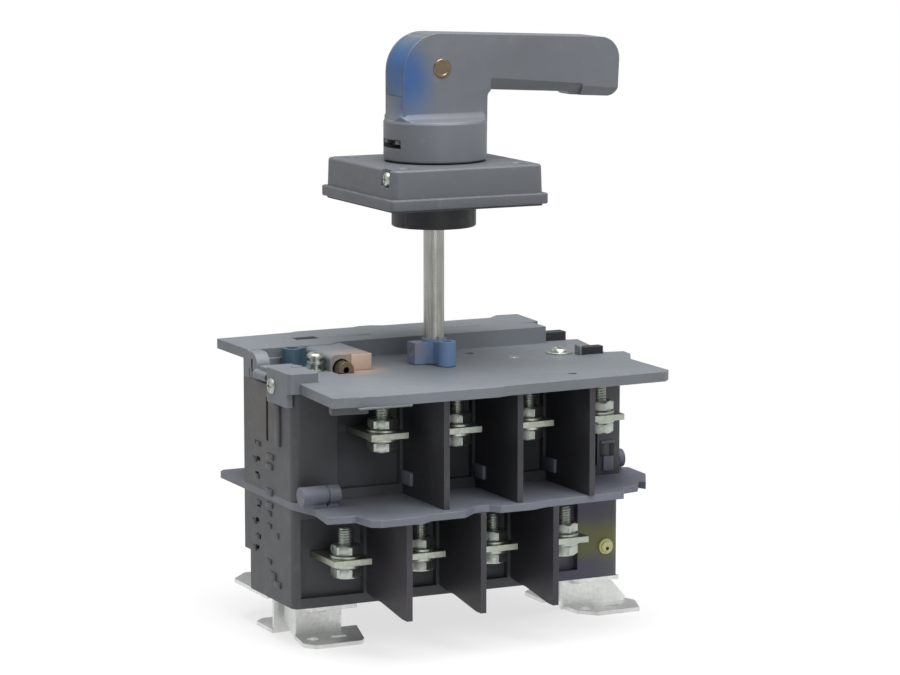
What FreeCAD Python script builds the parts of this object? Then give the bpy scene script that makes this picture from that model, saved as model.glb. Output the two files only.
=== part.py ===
import FreeCAD, Part
import math
import os
import re
import Sketcher

# Changeover switch disconnector, four poles in two stacked decks, with a rotary handle on a long shaft.
# Millimetres. X runs along the row of poles, -Y is the front terminal side, Z runs up the shaft.
# The origin is the centre of the four mounting holes, on the plane that the feet stand on.

SIZES = [
    # Casing
    ("pole_pitch", 40.0),
    ("deck_stagger", 20.0),
    ("end_margin", 1.0),
    ("body_depth", 58.0),
    ("corner_radius", 4.0),
    ("foot_height", 20.0),
    ("lower_deck_height", 50.0),
    ("upper_deck_height", 54.5),
    ("shroud_thickness", 3.5),
    ("cover_thickness", 5.0),
    ("side_wall", 3.0),
    ("deck_floor", 3.0),
    ("partition", 4.0),
    ("chamber_depth", 43.0),
    ("mechanism_space", 11.5),
    ("chamber_cover", 2.5),
    ("window_width", 34.0),
    ("window_depth", 4.5),
    ("window_margin", 5.0),
    ("vent_depth", 1.5),
    ("rear_rib", 4.0),
    ("seat_gap", 0.1),
    ("running_gap", 0.05),
    ("float_gap", 0.3),
    # Covers and barriers
    ("front_overhang", 48.0),
    ("front_bulge", 4.0),
    ("rear_overhang", 42.0),
    ("rear_step", 9.0),
    ("step_place", 32.0),
    ("ear_reach", 12.0),
    ("barrier_thickness", 3.0),
    ("barrier_reach", 47.0),
    ("rear_barrier_reach", 39.0),
    ("shroud_reach", 42.0),
    ("shroud_bulge", 15.0),
    ("barrel_radius", 4.7),
    # Terminals and their screws
    ("bar_width", 20.0),
    ("bar_thickness", 3.0),
    ("bar_reach", 25.0),
    ("contact_gap", 28.0),
    ("contact_width", 8.0),
    ("lower_bar_level", 25.0),
    ("upper_bar_level", 32.5),
    ("bolt_place", 16.0),
    ("bolt_diameter", 8.0),
    ("bolt_flats", 13.0),
    ("bolt_head", 5.3),
    ("bolt_reach", 18.0),
    ("washer_thickness", 1.6),
    ("nut_height", 6.5),
    # Rotors and drive
    ("blade_length", 36.0),
    ("blade_width", 8.0),
    ("blade_thickness", 2.0),
    ("hub_radius", 9.0),
    ("journal_radius", 4.0),
    ("boss_radius", 7.0),
    ("boss_height", 5.0),
    ("crank_radius", 6.0),
    ("crank_thickness", 2.5),
    ("crank_width", 6.0),
    ("pin_radius", 1.5),
    ("bar_gap", 0.3),
    ("transfer_place", 30.0),
    ("open_angle", 45.0),
    ("arc_plate_thickness", 1.0),
    ("arc_plate_pitch", 2.0),
    # Feet
    ("foot_spacing", 154.0),
    ("foot_row_spacing", 40.0),
    ("foot_hole_radius", 3.25),
    ("foot_plate", 2.0),
    ("foot_leg_place", 8.0),
    ("foot_depth", 25.0),
    ("foot_screw_spacing", 144.0),
    ("foot_screw_rows", 36.0),
    # Shaft, collar and cover plate on the door
    ("axis_place", -0.5),
    ("shaft_radius", 5.25),
    ("bearing_radius", 7.5),
    ("coupler_radius", 6.4),
    ("coupler_height", 12.4),
    ("door_plane", 216.2),
    ("plate_size", 86.5),
    ("plate_flange", 5.3),
    ("plate_height", 14.35),
    ("plate_base_size", 82.0),
    ("plate_wall", 3.0),
    ("plate_hole_spacing", 62.0),
    ("plate_hole_radius", 3.6),
    ("collar_radius", 21.5),
    ("collar_height", 13.2),
    ("neck_radius", 10.0),
    ("gasket_thickness", 1.0),
    # Handle
    ("handle_gap", 0.65),
    ("handle_boss_radius", 26.0),
    ("handle_boss_height", 20.5),
    ("shaft_engagement", 3.5),
    ("grip_thickness", 22.0),
    ("heel_reach", 21.5),
    ("riser_reach", 24.4),
    ("grip_reach", 99.4),
    ("grip_top", 43.2),
    ("grip_droop", 4.2),
    ("grip_underside", 13.9),
    ("grip_end_underside", 9.5),
    ("recess_start", 28.0),
    ("recess_length", 49.0),
    ("recess_size", 6.0),
    # Padlock lever and slide in the handle
    ("lever_pin_side", 0.6),
    ("lever_pin_rise", 25.7),
    ("lever_pin_radius", 3.0),
    ("lever_arc", 18.0),
    ("lever_hub_radius", 5.0),
    ("lever_web", 8.0),
    ("lever_foot", 8.0),
    ("lever_tip_radius", 3.2),
    ("lever_tip_side", 8.0),
    ("lever_tip_drop", 37.2),
    ("slide_thickness", 3.9),
    ("slide_width", 17.0),
    ("slide_reach", 23.5),
    ("padlock_hole_radius", 2.2),
]

doc = FreeCAD.newDocument("changeover_switch")
sheet = doc.addObject("Spreadsheet::Sheet", "Sizes")
for row, (alias, number) in enumerate(SIZES, start=1):
    sheet.set("A%d" % row, alias.replace("_", " "))
    sheet.set("B%d" % row, str(number))
    sheet.setAlias("B%d" % row, alias)
doc.recompute()

ALIASES = {alias for alias, number in SIZES}
POLES = 4
NODES = []


def full(expression):
    """Write an expression in sheet names as one that the document's objects can read."""
    return re.sub(r"[a-z_]+", lambda word: "Sizes." + word.group() if word.group() in ALIASES else word.group(),
                  str(expression))


def value(expression):
    """Work out an expression with the sheet's present numbers."""
    return float(sheet.evalExpression(str(expression)))


def bind(item, **properties):
    """Bind properties of an object to expressions in sheet names."""
    for name, expression in properties.items():
        item.setExpression(name, full(expression))
    return item


def place(item, x=0, y=0, z=0):
    """Bind the three coordinates of an object's place."""
    for axis, expression in (("x", x), ("y", y), ("z", z)):
        item.setExpression("Placement.Base." + axis, full(expression))
    return item


def turn(item, axis, degrees):
    """Turn an object about an axis through its own origin."""
    item.Placement = FreeCAD.Placement(FreeCAD.Vector(0, 0, 0), FreeCAD.Rotation(FreeCAD.Vector(*axis), degrees))
    return item


def block(name, x, y, z):
    """A box between two bounds on each axis."""
    item = doc.addObject("Part::Box", name)
    for side, (low, high) in (("Length", x), ("Width", y), ("Height", z)):
        item.setExpression(side, full("(%s) - (%s)" % (high, low)))
    return place(item, x[0], y[0], z[0])


AXIS_TURNS = {"X": ((0, 1, 0), 90), "Y": ((1, 0, 0), -90), "Z": ((0, 0, 1), 0)}


def rod(name, radius, low, high, x=0, y=0, z=0, axis="Z"):
    """A round bar along one axis from low to high, through the point given by the other two."""
    item = turn(doc.addObject("Part::Cylinder", name), *AXIS_TURNS[axis])
    bind(item, Radius=radius, Height="(%s) - (%s)" % (high, low))
    spot = {"X": x, "Y": y, "Z": z}
    spot[axis] = low
    return place(item, spot["X"], spot["Y"], spot["Z"])


def hexagon(name, flats, low, high, x, y):
    """An upright hexagonal prism measured across its flats."""
    item = doc.addObject("Part::Prism", name)
    item.Polygon = 6
    bind(item, Circumradius="%s / 2 / cos(30)" % flats, Height="(%s) - (%s)" % (high, low))
    return place(item, x, y, low)


def join(name, pieces):
    item = doc.addObject("Part::MultiFuse", name)
    item.Shapes = pieces
    item.Refine = True
    return item


def cut(name, base, tools):
    """Take one or more tools from a base."""
    item = doc.addObject("Part::Cut", name)
    item.Base = base
    item.Tool = tools[0] if len(tools) == 1 else join(name + "_tools", tools)
    item.Refine = True
    return item


def common(name, base, tool):
    item = doc.addObject("Part::Common", name)
    item.Base = base
    item.Tool = tool
    return item


def tube(name, outer, inner, low, high, x=0, y=0):
    return cut(name, rod(name + "_outside", outer, low, high, x, y), [rod(name + "_bore", inner, low, high, x, y)])


def node(label, pieces):
    """Give a finished sub-part its label; several solids become one compound."""
    if isinstance(pieces, list):
        item = doc.addObject("Part::Compound", label)
        item.Links = pieces
    else:
        item = pieces
    item.Label = label
    NODES.append(item)
    return item


def draw(sketch, corners):
    """Draw a closed outline whose corners are held by bound distances from the sketch's origin."""
    points = [FreeCAD.Vector(value(across), value(up), 0) for across, up in corners]
    count = len(points)
    for index in range(count):
        sketch.addGeometry(Part.LineSegment(points[index], points[(index + 1) % count]), False)
    for index in range(count):
        sketch.addConstraint(Sketcher.Constraint("Coincident", index, 2, (index + 1) % count, 1))
    for index, (across, up) in enumerate(corners):
        for kind, expression, number in (("DistanceX", across, points[index].x), ("DistanceY", up, points[index].y)):
            constraint = sketch.addConstraint(Sketcher.Constraint(kind, -1, 1, index, 1, number))
            sketch.setExpression("Constraints[%d]" % constraint, full(expression))
    return sketch


PLANE_TURNS = {"XY": ((0, 0, 1), 0), "XZ": ((1, 0, 0), 90), "YZ": ((1, 1, 1), 120)}
PLANE_NORMALS = {"XY": (0, 0, 1), "XZ": (0, 1, 0), "YZ": (1, 0, 0)}
OFFSET_AXES = {"XY": "z", "XZ": "y", "YZ": "x"}


def profile(name, plane, corners, low, high):
    """An outline in a plane, pulled along the plane's normal axis from low to high."""
    sketch = turn(doc.addObject("Sketcher::SketchObject", name + "_outline"), *PLANE_TURNS[plane])
    draw(sketch, corners)
    place(sketch, **{OFFSET_AXES[plane]: low})
    item = doc.addObject("Part::Extrusion", name)
    item.Base = sketch
    item.DirMode = "Custom"
    item.Dir = FreeCAD.Vector(*PLANE_NORMALS[plane])
    item.Solid = True
    return bind(item, LengthFwd="(%s) - (%s)" % (high, low))


def edges_along(shape, axis, spots):
    """Numbers of the straight edges along an axis that pass through any of the spots given."""
    index = "XYZ".index(axis)
    others = [number for number in range(3) if number != index]
    found = []
    for number, edge in enumerate(shape.Edges, start=1):
        if not isinstance(edge.Curve, Part.Line) or abs(edge.Curve.Direction[index]) < 0.999:
            continue
        point = edge.Vertexes[0].Point
        for spot in spots:
            if all(abs(point[other] - target) < 0.01 for other, target in zip(others, spot)):
                found.append(number)
    return found


def rounded(name, base, axis, corners):
    """Round straight edges along an axis; each corner is its two coordinates and a radius."""
    doc.recompute()
    item = doc.addObject("Part::Fillet", name)
    item.Base = base
    wanted = []
    for first, second, radius in corners:
        size = value(radius)
        for number in edges_along(base.Shape, axis, [(value(first), value(second))]):
            wanted.append((number, size, size))
    item.Edges = wanted
    return item


def pad_body(label, plane, corners, low, high):
    """A PartDesign body with one padded outline between two levels along the plane's normal."""
    body = doc.addObject("PartDesign::Body", label + "_body")
    sketch = body.newObject("Sketcher::SketchObject", label + "_sketch")
    origin_plane = [item for item in body.Origin.OriginFeatures if item.Role == plane + "_Plane"][0]
    sketch.AttachmentSupport = [(origin_plane, "")]
    sketch.MapMode = "FlatFace"
    draw(sketch, corners)
    # The XZ plane's normal points to the front, so its offset counts the other way
    along = "-(%s)" % high if plane == "XZ" else low
    sketch.setExpression("AttachmentOffset.Base.z", full(along))
    pad = body.newObject("PartDesign::Pad", label + "_pad")
    pad.Profile = sketch
    bind(pad, Length="(%s) - (%s)" % (high, low))
    doc.recompute()
    return body


def pocket(body, name, plane, corners, low, high):
    """Cut an outline out of a body between two levels along the plane's normal."""
    sketch = body.newObject("Sketcher::SketchObject", name + "_sketch")
    origin_plane = [item for item in body.Origin.OriginFeatures if item.Role == plane + "_Plane"][0]
    sketch.AttachmentSupport = [(origin_plane, "")]
    sketch.MapMode = "FlatFace"
    draw(sketch, corners)
    along = "-(%s)" % high if plane == "XZ" else low
    sketch.setExpression("AttachmentOffset.Base.z", full(along))
    item = body.newObject("PartDesign::Pocket", name)
    item.Profile = sketch
    item.Reversed = True
    bind(item, Length="(%s) - (%s)" % (high, low))
    before = body.Tip.Shape.Volume
    doc.recompute()
    if item.Shape.Volume > before - 0.01:
        raise RuntimeError(name + " cuts nothing")
    return item


# Levels and places that several pieces share
HALF_WIDTH = "(2 * pole_pitch + deck_stagger / 2 + end_margin)"
HALF_DEPTH = "(body_depth / 2)"
LOWER_BOTTOM = "foot_height"
LOWER_TOP = "(foot_height + lower_deck_height)"
UPPER_BOTTOM = "(foot_height + lower_deck_height + shroud_thickness)"
UPPER_TOP = "(foot_height + lower_deck_height + shroud_thickness + upper_deck_height)"
COVER_TOP = "(%s + cover_thickness)" % UPPER_TOP
REAR_TOP = "(%s + rear_step)" % COVER_TOP
TRANSFER_X = "(-1.5 * pole_pitch + deck_stagger / 2 - transfer_place)"
INNER_HALF = "(%s - side_wall)" % HALF_WIDTH
CHAMBER_HALF = "(chamber_depth / 2)"
SIDES = (("front", -1), ("rear", 1))


class Deck:
    """The levels and pole places of one deck."""

    def __init__(self, name, bottom, top, bar_level, shift, rest_side):
        self.name = name
        self.bottom = bottom
        self.top = top
        self.floor = "(%s + deck_floor)" % bottom
        self.bar = "(%s + %s)" % (bottom, bar_level)
        self.lid_top = "(%s - mechanism_space)" % top
        self.lid_bottom = "(%s - mechanism_space - chamber_cover)" % top
        self.crank = "(%s + 1)" % self.lid_top
        self.drive = "(%s + crank_thickness + bar_gap)" % self.crank
        self.over_drive = "(%s + crank_thickness + bar_gap)" % self.drive
        self.shift = shift
        self.rest_side = rest_side

    def pole(self, index):
        return "((%d - 1.5) * pole_pitch %s deck_stagger / 2)" % (index, self.shift)


LOWER = Deck("lower", LOWER_BOTTOM, LOWER_TOP, "lower_bar_level", "-", 1)
UPPER = Deck("upper", UPPER_BOTTOM, UPPER_TOP, "upper_bar_level", "+", -1)


def corners_of(spacing, rows):
    """The four corners of a rectangle about the origin."""
    return [("%s%s / 2" % (across, spacing), "%s%s / 2" % (along, rows)) for across in ("-", "") for along in ("-", "")]


def foot_screw_rods(name, radius, low, high):
    return [rod("%s_%d" % (name, number), radius, low, high, x, y)
            for number, (x, y) in enumerate(corners_of("foot_screw_spacing", "foot_screw_rows"), start=1)]


# Deck housings
def housing(deck, ribs, vents, slits):
    """A moulded deck: four arc chambers, a half bay, terminal windows, pivot bosses and side vents."""
    name = deck.name + "_housing"
    shell = block(name + "_shell", ("-" + HALF_WIDTH, HALF_WIDTH), ("-" + HALF_DEPTH, HALF_DEPTH),
                  (deck.bottom, deck.top))
    corners = [(side + HALF_WIDTH, end + HALF_DEPTH, "corner_radius") for side in ("-", "") for end in ("-", "")]
    shell = rounded(name + "_rounded", shell, "Z", corners)
    tools = []
    tools.append(block(name + "_mechanism_room", ("-" + INNER_HALF, INNER_HALF), ("-" + CHAMBER_HALF, CHAMBER_HALF),
                       (deck.lid_bottom, deck.top)))
    for index in range(POLES):
        x = deck.pole(index)
        tools.append(block("%s_chamber_%d" % (name, index + 1),
                           ("%s - (pole_pitch - partition) / 2" % x, "%s + (pole_pitch - partition) / 2" % x),
                           ("-" + CHAMBER_HALF, CHAMBER_HALF), (deck.floor, deck.lid_bottom)))
        slot = "(bar_width / 2 + seat_gap)"
        for side, sign in SIDES:
            tools.append(block("%s_window_%s_%d" % (name, side, index + 1),
                               ("%s - window_width / 2" % x, "%s + window_width / 2" % x),
                               sorted_bounds(sign, HALF_DEPTH + " - window_depth", HALF_DEPTH),
                               (deck.bottom + " + window_margin", deck.top + " - window_margin")))
            tools.append(block("%s_slot_%s_%d" % (name, side, index + 1), (x + " - " + slot, x + " + " + slot),
                               sorted_bounds(sign, CHAMBER_HALF, HALF_DEPTH),
                               (deck.bar + " - seat_gap", deck.bar + " + bar_thickness + seat_gap")))
    half_bay_end = "(2 * pole_pitch - deck_stagger / 2 + partition / 2)"
    if deck is UPPER:
        half_bay = ("-" + INNER_HALF, "-" + half_bay_end)
    else:
        half_bay = (half_bay_end, INNER_HALF)
    tools.append(block(name + "_half_bay", half_bay, ("-" + CHAMBER_HALF, CHAMBER_HALF), (deck.floor, deck.lid_bottom)))
    if deck is UPPER:
        tools.append(rod(name + "_transfer_hole", "journal_radius + running_gap", deck.bottom, deck.floor, TRANSFER_X))
    for number, (across, up) in enumerate(vents, start=1):
        for side, sign in (("left", -1), ("right", 1)):
            tools.append(block("%s_vent_%s_%d" % (name, side, number),
                               sorted_bounds(sign, HALF_WIDTH + " - vent_depth", HALF_WIDTH),
                               ("%s - 2.2" % across, "%s + 2.2" % across), (up, up + " + 2.2")))
    for number, (across, low, high) in enumerate(slits, start=1):
        for side, sign in (("left", -1), ("right", 1)):
            tools.append(block("%s_slit_%s_%d" % (name, side, number),
                               sorted_bounds(sign, HALF_WIDTH + " - vent_depth", HALF_WIDTH),
                               ("%s - 1.4" % across, "%s + 1.4" % across), (low, high)))
    if deck is LOWER:
        tools.extend(foot_screw_rods("foot_screw_hole", "2.05", deck.bottom, deck.bottom + " + 2.5"))
    hollow = cut(name + "_hollow", shell, tools)
    pieces = [hollow]
    for index in range(POLES):
        pieces.append(tube("%s_boss_%d" % (name, index + 1), "boss_radius", "journal_radius + running_gap",
                           deck.floor, deck.floor + " + boss_height", deck.pole(index)))
    for side, sign in (("left", -1), ("right", 1)):
        pieces.append(block("%s_rib_%s" % (name, side), sorted_bounds(sign, HALF_WIDTH + " - 5", HALF_WIDTH),
                            (HALF_DEPTH + " - corner_radius", HALF_DEPTH + " + rear_rib"), ribs))
    return node(deck.name + "_deck_housing", join(name + "_whole", pieces))


def sorted_bounds(sign, near, far):
    """Bounds that lie between two distances on the negative or the positive side of zero."""
    if sign < 0:
        return ("-(%s)" % far, "-(%s)" % near)
    return (near, far)


VENT_Y = "(body_depth / 4)"
lower_vents = [(VENT_Y + " + 2", LOWER_BOTTOM + " + 22"), (VENT_Y, LOWER_BOTTOM + " + 28"),
               (VENT_Y + " + 2", LOWER_BOTTOM + " + 36"), (VENT_Y, LOWER_BOTTOM + " + 44")]
upper_vents = [(VENT_Y + " + 2", UPPER_BOTTOM + " + 6"), (VENT_Y, UPPER_BOTTOM + " + 14"),
               (VENT_Y + " + 2", UPPER_BOTTOM + " + 22")]
upper_slits = [(3, UPPER_BOTTOM + " + 26", UPPER_BOTTOM + " + 48")]
housing(LOWER, (LOWER_BOTTOM + " + 20", LOWER_TOP), lower_vents, [])
housing(UPPER, (UPPER_BOTTOM, UPPER_TOP), upper_vents, upper_slits)


# Lids between the arc chambers and the drive above them
def chamber_lid(deck):
    name = deck.name + "_chamber_cover"
    plate = block(name + "_plate", ("-(%s - seat_gap)" % INNER_HALF, INNER_HALF + " - seat_gap"),
                  ("-(%s - seat_gap)" % CHAMBER_HALF, CHAMBER_HALF + " - seat_gap"), (deck.lid_bottom, deck.lid_top))
    places = [deck.pole(index) for index in range(POLES)]
    if deck is UPPER:
        places.append(TRANSFER_X)
    holes = [rod("%s_hole_%d" % (name, number), "journal_radius + running_gap", deck.lid_bottom, deck.lid_top, x)
             for number, x in enumerate(places, start=1)]
    return node(name, cut(name + "_cut", plate, holes))


chamber_lid(LOWER)
chamber_lid(UPPER)


# Plate between the decks, with a scalloped front edge and ears at the right end
FRONT = "-(%s + shroud_reach)" % HALF_DEPTH
REAR = HALF_DEPTH + " + rear_barrier_reach"
shroud_corners = [
    ("-%s + 2" % HALF_WIDTH, "-%s - 8" % HALF_DEPTH),
    ("-%s + 4" % HALF_WIDTH, "-%s - 18" % HALF_DEPTH),
    ("-%s + 1" % HALF_WIDTH, FRONT + " + 3"),
    ("-%s + 15" % HALF_WIDTH, FRONT + " + 1"),
    ("-%s + 17" % HALF_WIDTH, FRONT + " - shroud_bulge + 3"),
    ("-%s + 21" % HALF_WIDTH, FRONT + " - shroud_bulge"),
    ("-%s + 44" % HALF_WIDTH, FRONT + " - shroud_bulge"),
    ("-%s + 50" % HALF_WIDTH, FRONT + " - shroud_bulge + 4"),
    ("-%s + 68" % HALF_WIDTH, FRONT + " - shroud_bulge + 4"),
    ("-%s + 77" % HALF_WIDTH, FRONT + " - 3"),
    ("-%s + 85" % HALF_WIDTH, FRONT + " - 3"),
    ("-%s + 89" % HALF_WIDTH, FRONT + " - shroud_bulge + 7"),
    ("-%s + 107" % HALF_WIDTH, FRONT + " - shroud_bulge + 7"),
    ("-%s + 115" % HALF_WIDTH, FRONT + " - 5"),
    (HALF_WIDTH + " - 22", FRONT + " - 3"),
    (HALF_WIDTH + " - 16", FRONT + " + 8"),
    (HALF_WIDTH + " - 7", FRONT + " + 10"),
    (HALF_WIDTH + " - 2", FRONT + " + 18"),
    (HALF_WIDTH, FRONT + " + 14"),
    (HALF_WIDTH + " + ear_reach - 1", "-%s - 8" % HALF_DEPTH),
    (HALF_WIDTH + " + ear_reach", "-%s + 12" % HALF_DEPTH),
    (HALF_WIDTH, "-%s + 19" % HALF_DEPTH),
    (HALF_WIDTH, REAR + " - 3"),
    (HALF_WIDTH + " - 3", REAR),
    ("-%s + 3" % HALF_WIDTH, REAR),
    ("-" + HALF_WIDTH, REAR + " - 3"),
    ("-" + HALF_WIDTH, "-%s" % HALF_DEPTH),
]
shroud = pad_body("middle_shroud", "XY", shroud_corners, LOWER_TOP, UPPER_BOTTOM)
node("middle_shroud", cut("middle_shroud_cut", shroud,
                          [rod("shroud_transfer_hole", "journal_radius + running_gap", LOWER_TOP, UPPER_BOTTOM,
                               TRANSFER_X)]))


# Ribbed barrels that lie on the ends of the middle plate
def barrel(name, low, high, y, groove):
    axis_z = "(%s + barrel_radius + 1.1)" % UPPER_BOTTOM
    body = join(name + "_body", [
        rod(name + "_round", "barrel_radius", low, high, 0, y, axis_z, "X"),
        block(name + "_foot", (low + " + 1", high + " - 1"), ("%s - 2" % y, "%s + 2" % y), (UPPER_BOTTOM, axis_z))])
    ring = cut(name + "_ring", rod(name + "_ring_outside", "barrel_radius + 1", groove, groove + " + 1.2", 0, y,
                                   axis_z, "X"),
               [rod(name + "_ring_inside", "barrel_radius - 0.8", groove, groove + " + 1.2", 0, y, axis_z, "X")])
    return cut(name, body, [ring])


BARREL_Y = "(-%s - 13.5)" % HALF_DEPTH
node("shroud_barrels", [
    barrel("left_barrel", "-%s - 2" % HALF_WIDTH, "-%s + 18" % HALF_WIDTH, BARREL_Y, "-%s + 11" % HALF_WIDTH),
    barrel("right_barrel", HALF_WIDTH + " + 0.3", HALF_WIDTH + " + 6.5", "(-%s + 10)" % HALF_DEPTH,
           HALF_WIDTH + " + 2"),
])


# Walls between the terminals of neighbouring poles
def barriers(deck, front_top, rear_top):
    """Three walls on each side; those at the front of the lower deck step up towards the casing."""
    walls = []
    for index in range(POLES - 1):
        x = "(%s + pole_pitch / 2)" % deck.pole(index)
        across = ("%s - barrier_thickness / 2" % x, "%s + barrier_thickness / 2" % x)
        for side, sign in SIDES:
            reach = "barrier_reach" if side == "front" else "rear_barrier_reach"
            top = front_top if side == "front" else rear_top
            start = HALF_DEPTH
            end = "%s + %s" % (HALF_DEPTH, reach)
            flip = "-" if sign < 0 else ""
            step = 1.5 if deck is LOWER else 0
            corners = [(flip + "(%s)" % start, top), (flip + "(%s)" % end, top), (flip + "(%s)" % end, deck.bottom),
                       (flip + "(%s - 6)" % end, deck.bottom), (flip + "(%s + 17)" % start, "%s + %s" % (deck.bottom, step + 2)),
                       (flip + "(%s + 9)" % start, "%s + %s" % (deck.bottom, step + 2)),
                       (flip + "(%s)" % start, "%s + %s" % (deck.bottom, step + 3.5))]
            if deck is UPPER:
                corners = corners[:3] + [(flip + "(%s)" % start, deck.bottom)]
            if deck is UPPER and side == "rear":
                corners[:1] = [("(%s)" % start, front_top), ("(%s + 13)" % start, front_top),
                               ("(%s + 13)" % start, rear_top)]
            walls.append(profile("%s_barrier_%s_%d" % (deck.name, side, index + 1), "YZ", corners, *across))
    return node(deck.name + "_phase_barriers", walls)


barriers(LOWER, LOWER_TOP, LOWER_TOP)
barriers(UPPER, UPPER_TOP, "(%s + rear_step)" % UPPER_TOP)


# Terminal bars with the fixed contacts at their inner ends
def terminals(deck):
    bars = []
    for index in range(POLES):
        x = deck.pole(index)
        for side, sign in SIDES:
            name = "%s_terminal_%s_%d" % (deck.name, side, index + 1)
            outer = HALF_DEPTH + " + bar_reach"
            strip = block(name + "_strip", (x + " - bar_width / 2", x + " + bar_width / 2"),
                          sorted_bounds(sign, CHAMBER_HALF, outer), (deck.bar, deck.bar + " + bar_thickness"))
            finger = block(name + "_finger", (x + " - contact_width / 2", x + " + contact_width / 2"),
                           sorted_bounds(sign, "contact_gap / 2", CHAMBER_HALF),
                           (deck.bar, deck.bar + " + bar_thickness"))
            bar = join(name + "_bar", [strip, finger])
            hole = rod(name + "_hole", "bolt_diameter / 2 + seat_gap", deck.bar, deck.bar + " + bar_thickness", x,
                       "%d * (%s + bolt_place)" % (sign, HALF_DEPTH))
            bars.append(cut(name, bar, [hole]))
    return node(deck.name + "_terminals", bars)


terminals(LOWER)
terminals(UPPER)


# Terminal bolts, nuts and washers, the head under the bar and the nut on top
bolts = []
nuts = []
washers = []
for deck in (LOWER, UPPER):
    for index in range(POLES):
        for side, sign in SIDES:
            spot = (deck.pole(index), "%d * (%s + bolt_place)" % (sign, HALF_DEPTH))
            name = "%s_%s_%d" % (deck.name, side, index + 1)
            seat = deck.bar + " - washer_thickness"
            head = hexagon("bolt_head_" + name, "bolt_flats", seat + " - bolt_head", seat, *spot)
            shank = rod("bolt_shank_" + name, "bolt_diameter / 2", seat + " - bolt_head / 2",
                        deck.bar + " + bolt_reach", *spot)
            bolts.append(join("bolt_" + name, [head, shank]))
            washers.append(tube("washer_" + name, "bolt_diameter", "bolt_diameter / 2 + seat_gap", seat, deck.bar,
                                *spot))
            nut = hexagon("nut_blank_" + name, "bolt_flats", deck.bar + " + bar_thickness",
                          deck.bar + " + bar_thickness + nut_height", *spot)
            bore = rod("nut_bore_" + name, "bolt_diameter / 2 + running_gap", deck.bar + " + bar_thickness",
                       deck.bar + " + bar_thickness + nut_height", *spot)
            nuts.append(cut("nut_" + name, nut, [bore]))
node("terminal_bolts", bolts)
node("terminal_nuts", nuts)
node("terminal_washers", washers)


# Steel arc plates beside the fixed contacts
def arc_plates(deck):
    plates = []
    for index in range(POLES):
        x = deck.pole(index)
        for side, sign in SIDES:
            for number in range(3):
                near = "(%s - arc_plate_thickness - %d * arc_plate_pitch)" % (CHAMBER_HALF, number)
                inner = "%s + %d * bar_width / 2" % (x, -sign * deck.rest_side)
                outer = "%s + %d * (pole_pitch - partition) / 2" % (x, -sign * deck.rest_side)
                across = (inner, outer) if -sign * deck.rest_side > 0 else (outer, inner)
                plates.append(block("%s_arc_plate_%s_%d_%d" % (deck.name, side, index + 1, number + 1),
                                    (across[0] + " + seat_gap", across[1] + " - seat_gap"),
                                    sorted_bounds(sign, near, near + " + arc_plate_thickness"),
                                    (deck.floor, deck.lid_bottom)))
    return node(deck.name + "_arc_plates", plates)


arc_plates(LOWER)
arc_plates(UPPER)


# Rotors: an insulating spool with two knife blades and a crank arm on top
def rotor(deck, index):
    x = deck.pole(index)
    name = "%s_rotor_%d" % (deck.name, index + 1)
    boss_top = deck.floor + " + boss_height"
    crank_top = deck.crank + " + crank_thickness"
    spool = join(name + "_spool", [
        rod(name + "_journal", "journal_radius", deck.floor + " + float_gap", boss_top + " + float_gap", x),
        rod(name + "_hub", "hub_radius", boss_top + " + float_gap", deck.lid_bottom + " - float_gap", x),
        rod(name + "_neck", "journal_radius", deck.lid_bottom + " - float_gap", crank_top, x),
        block(name + "_arm", (x + " - crank_width / 2", x + " + crank_width / 2"), ("-crank_radius", 0),
              (deck.crank, crank_top)),
        rod(name + "_arm_end", "crank_width / 2", deck.crank, crank_top, x, "-crank_radius"),
        rod(name + "_pin", "pin_radius", deck.crank, deck.drive + " + crank_thickness", x, "-crank_radius")])
    blades = []
    levels = (("under", deck.bar + " - running_gap - blade_thickness"),
              ("over", deck.bar + " + bar_thickness + running_gap"))
    for level, low in levels:
        blade = doc.addObject("Part::Box", "%s_blade_%s" % (name, level))
        bind(blade, Length="blade_width", Width="blade_length", Height="blade_thickness")
        rest = "%d * open_angle" % deck.rest_side
        # The box turns about the rotor's axis, so its corner swings with the rest angle
        turn(blade, (0, 0, 1), value(rest))
        blade.setExpression("Placement.Rotation.Angle", full(rest))
        place(blade, "%s - blade_width / 2 * cos(%s) + blade_length / 2 * sin(%s)" % (x, rest, rest),
              "-blade_width / 2 * sin(%s) - blade_length / 2 * cos(%s)" % (rest, rest), low)
        sweep = rod("%s_sweep_%s" % (name, level), "(pole_pitch - partition) / 2 - running_gap * 3", low,
                    low + " + blade_thickness", x)
        blades.append(common("%s_blade_%s_trimmed" % (name, level), blade, sweep))
    node(name, cut(name + "_cut", spool, blades))
    node("%s_blades_%d" % (deck.name, index + 1), [solid_copy(blade) for blade in blades])


def solid_copy(item):
    """A second use of a piece that already serves as a tool."""
    copy = doc.addObject("App::Link", item.Name + "_piece")
    copy.LinkedObject = item
    copy.LinkTransform = True
    return copy


for deck in (LOWER, UPPER):
    for index in range(POLES):
        rotor(deck, index)


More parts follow.
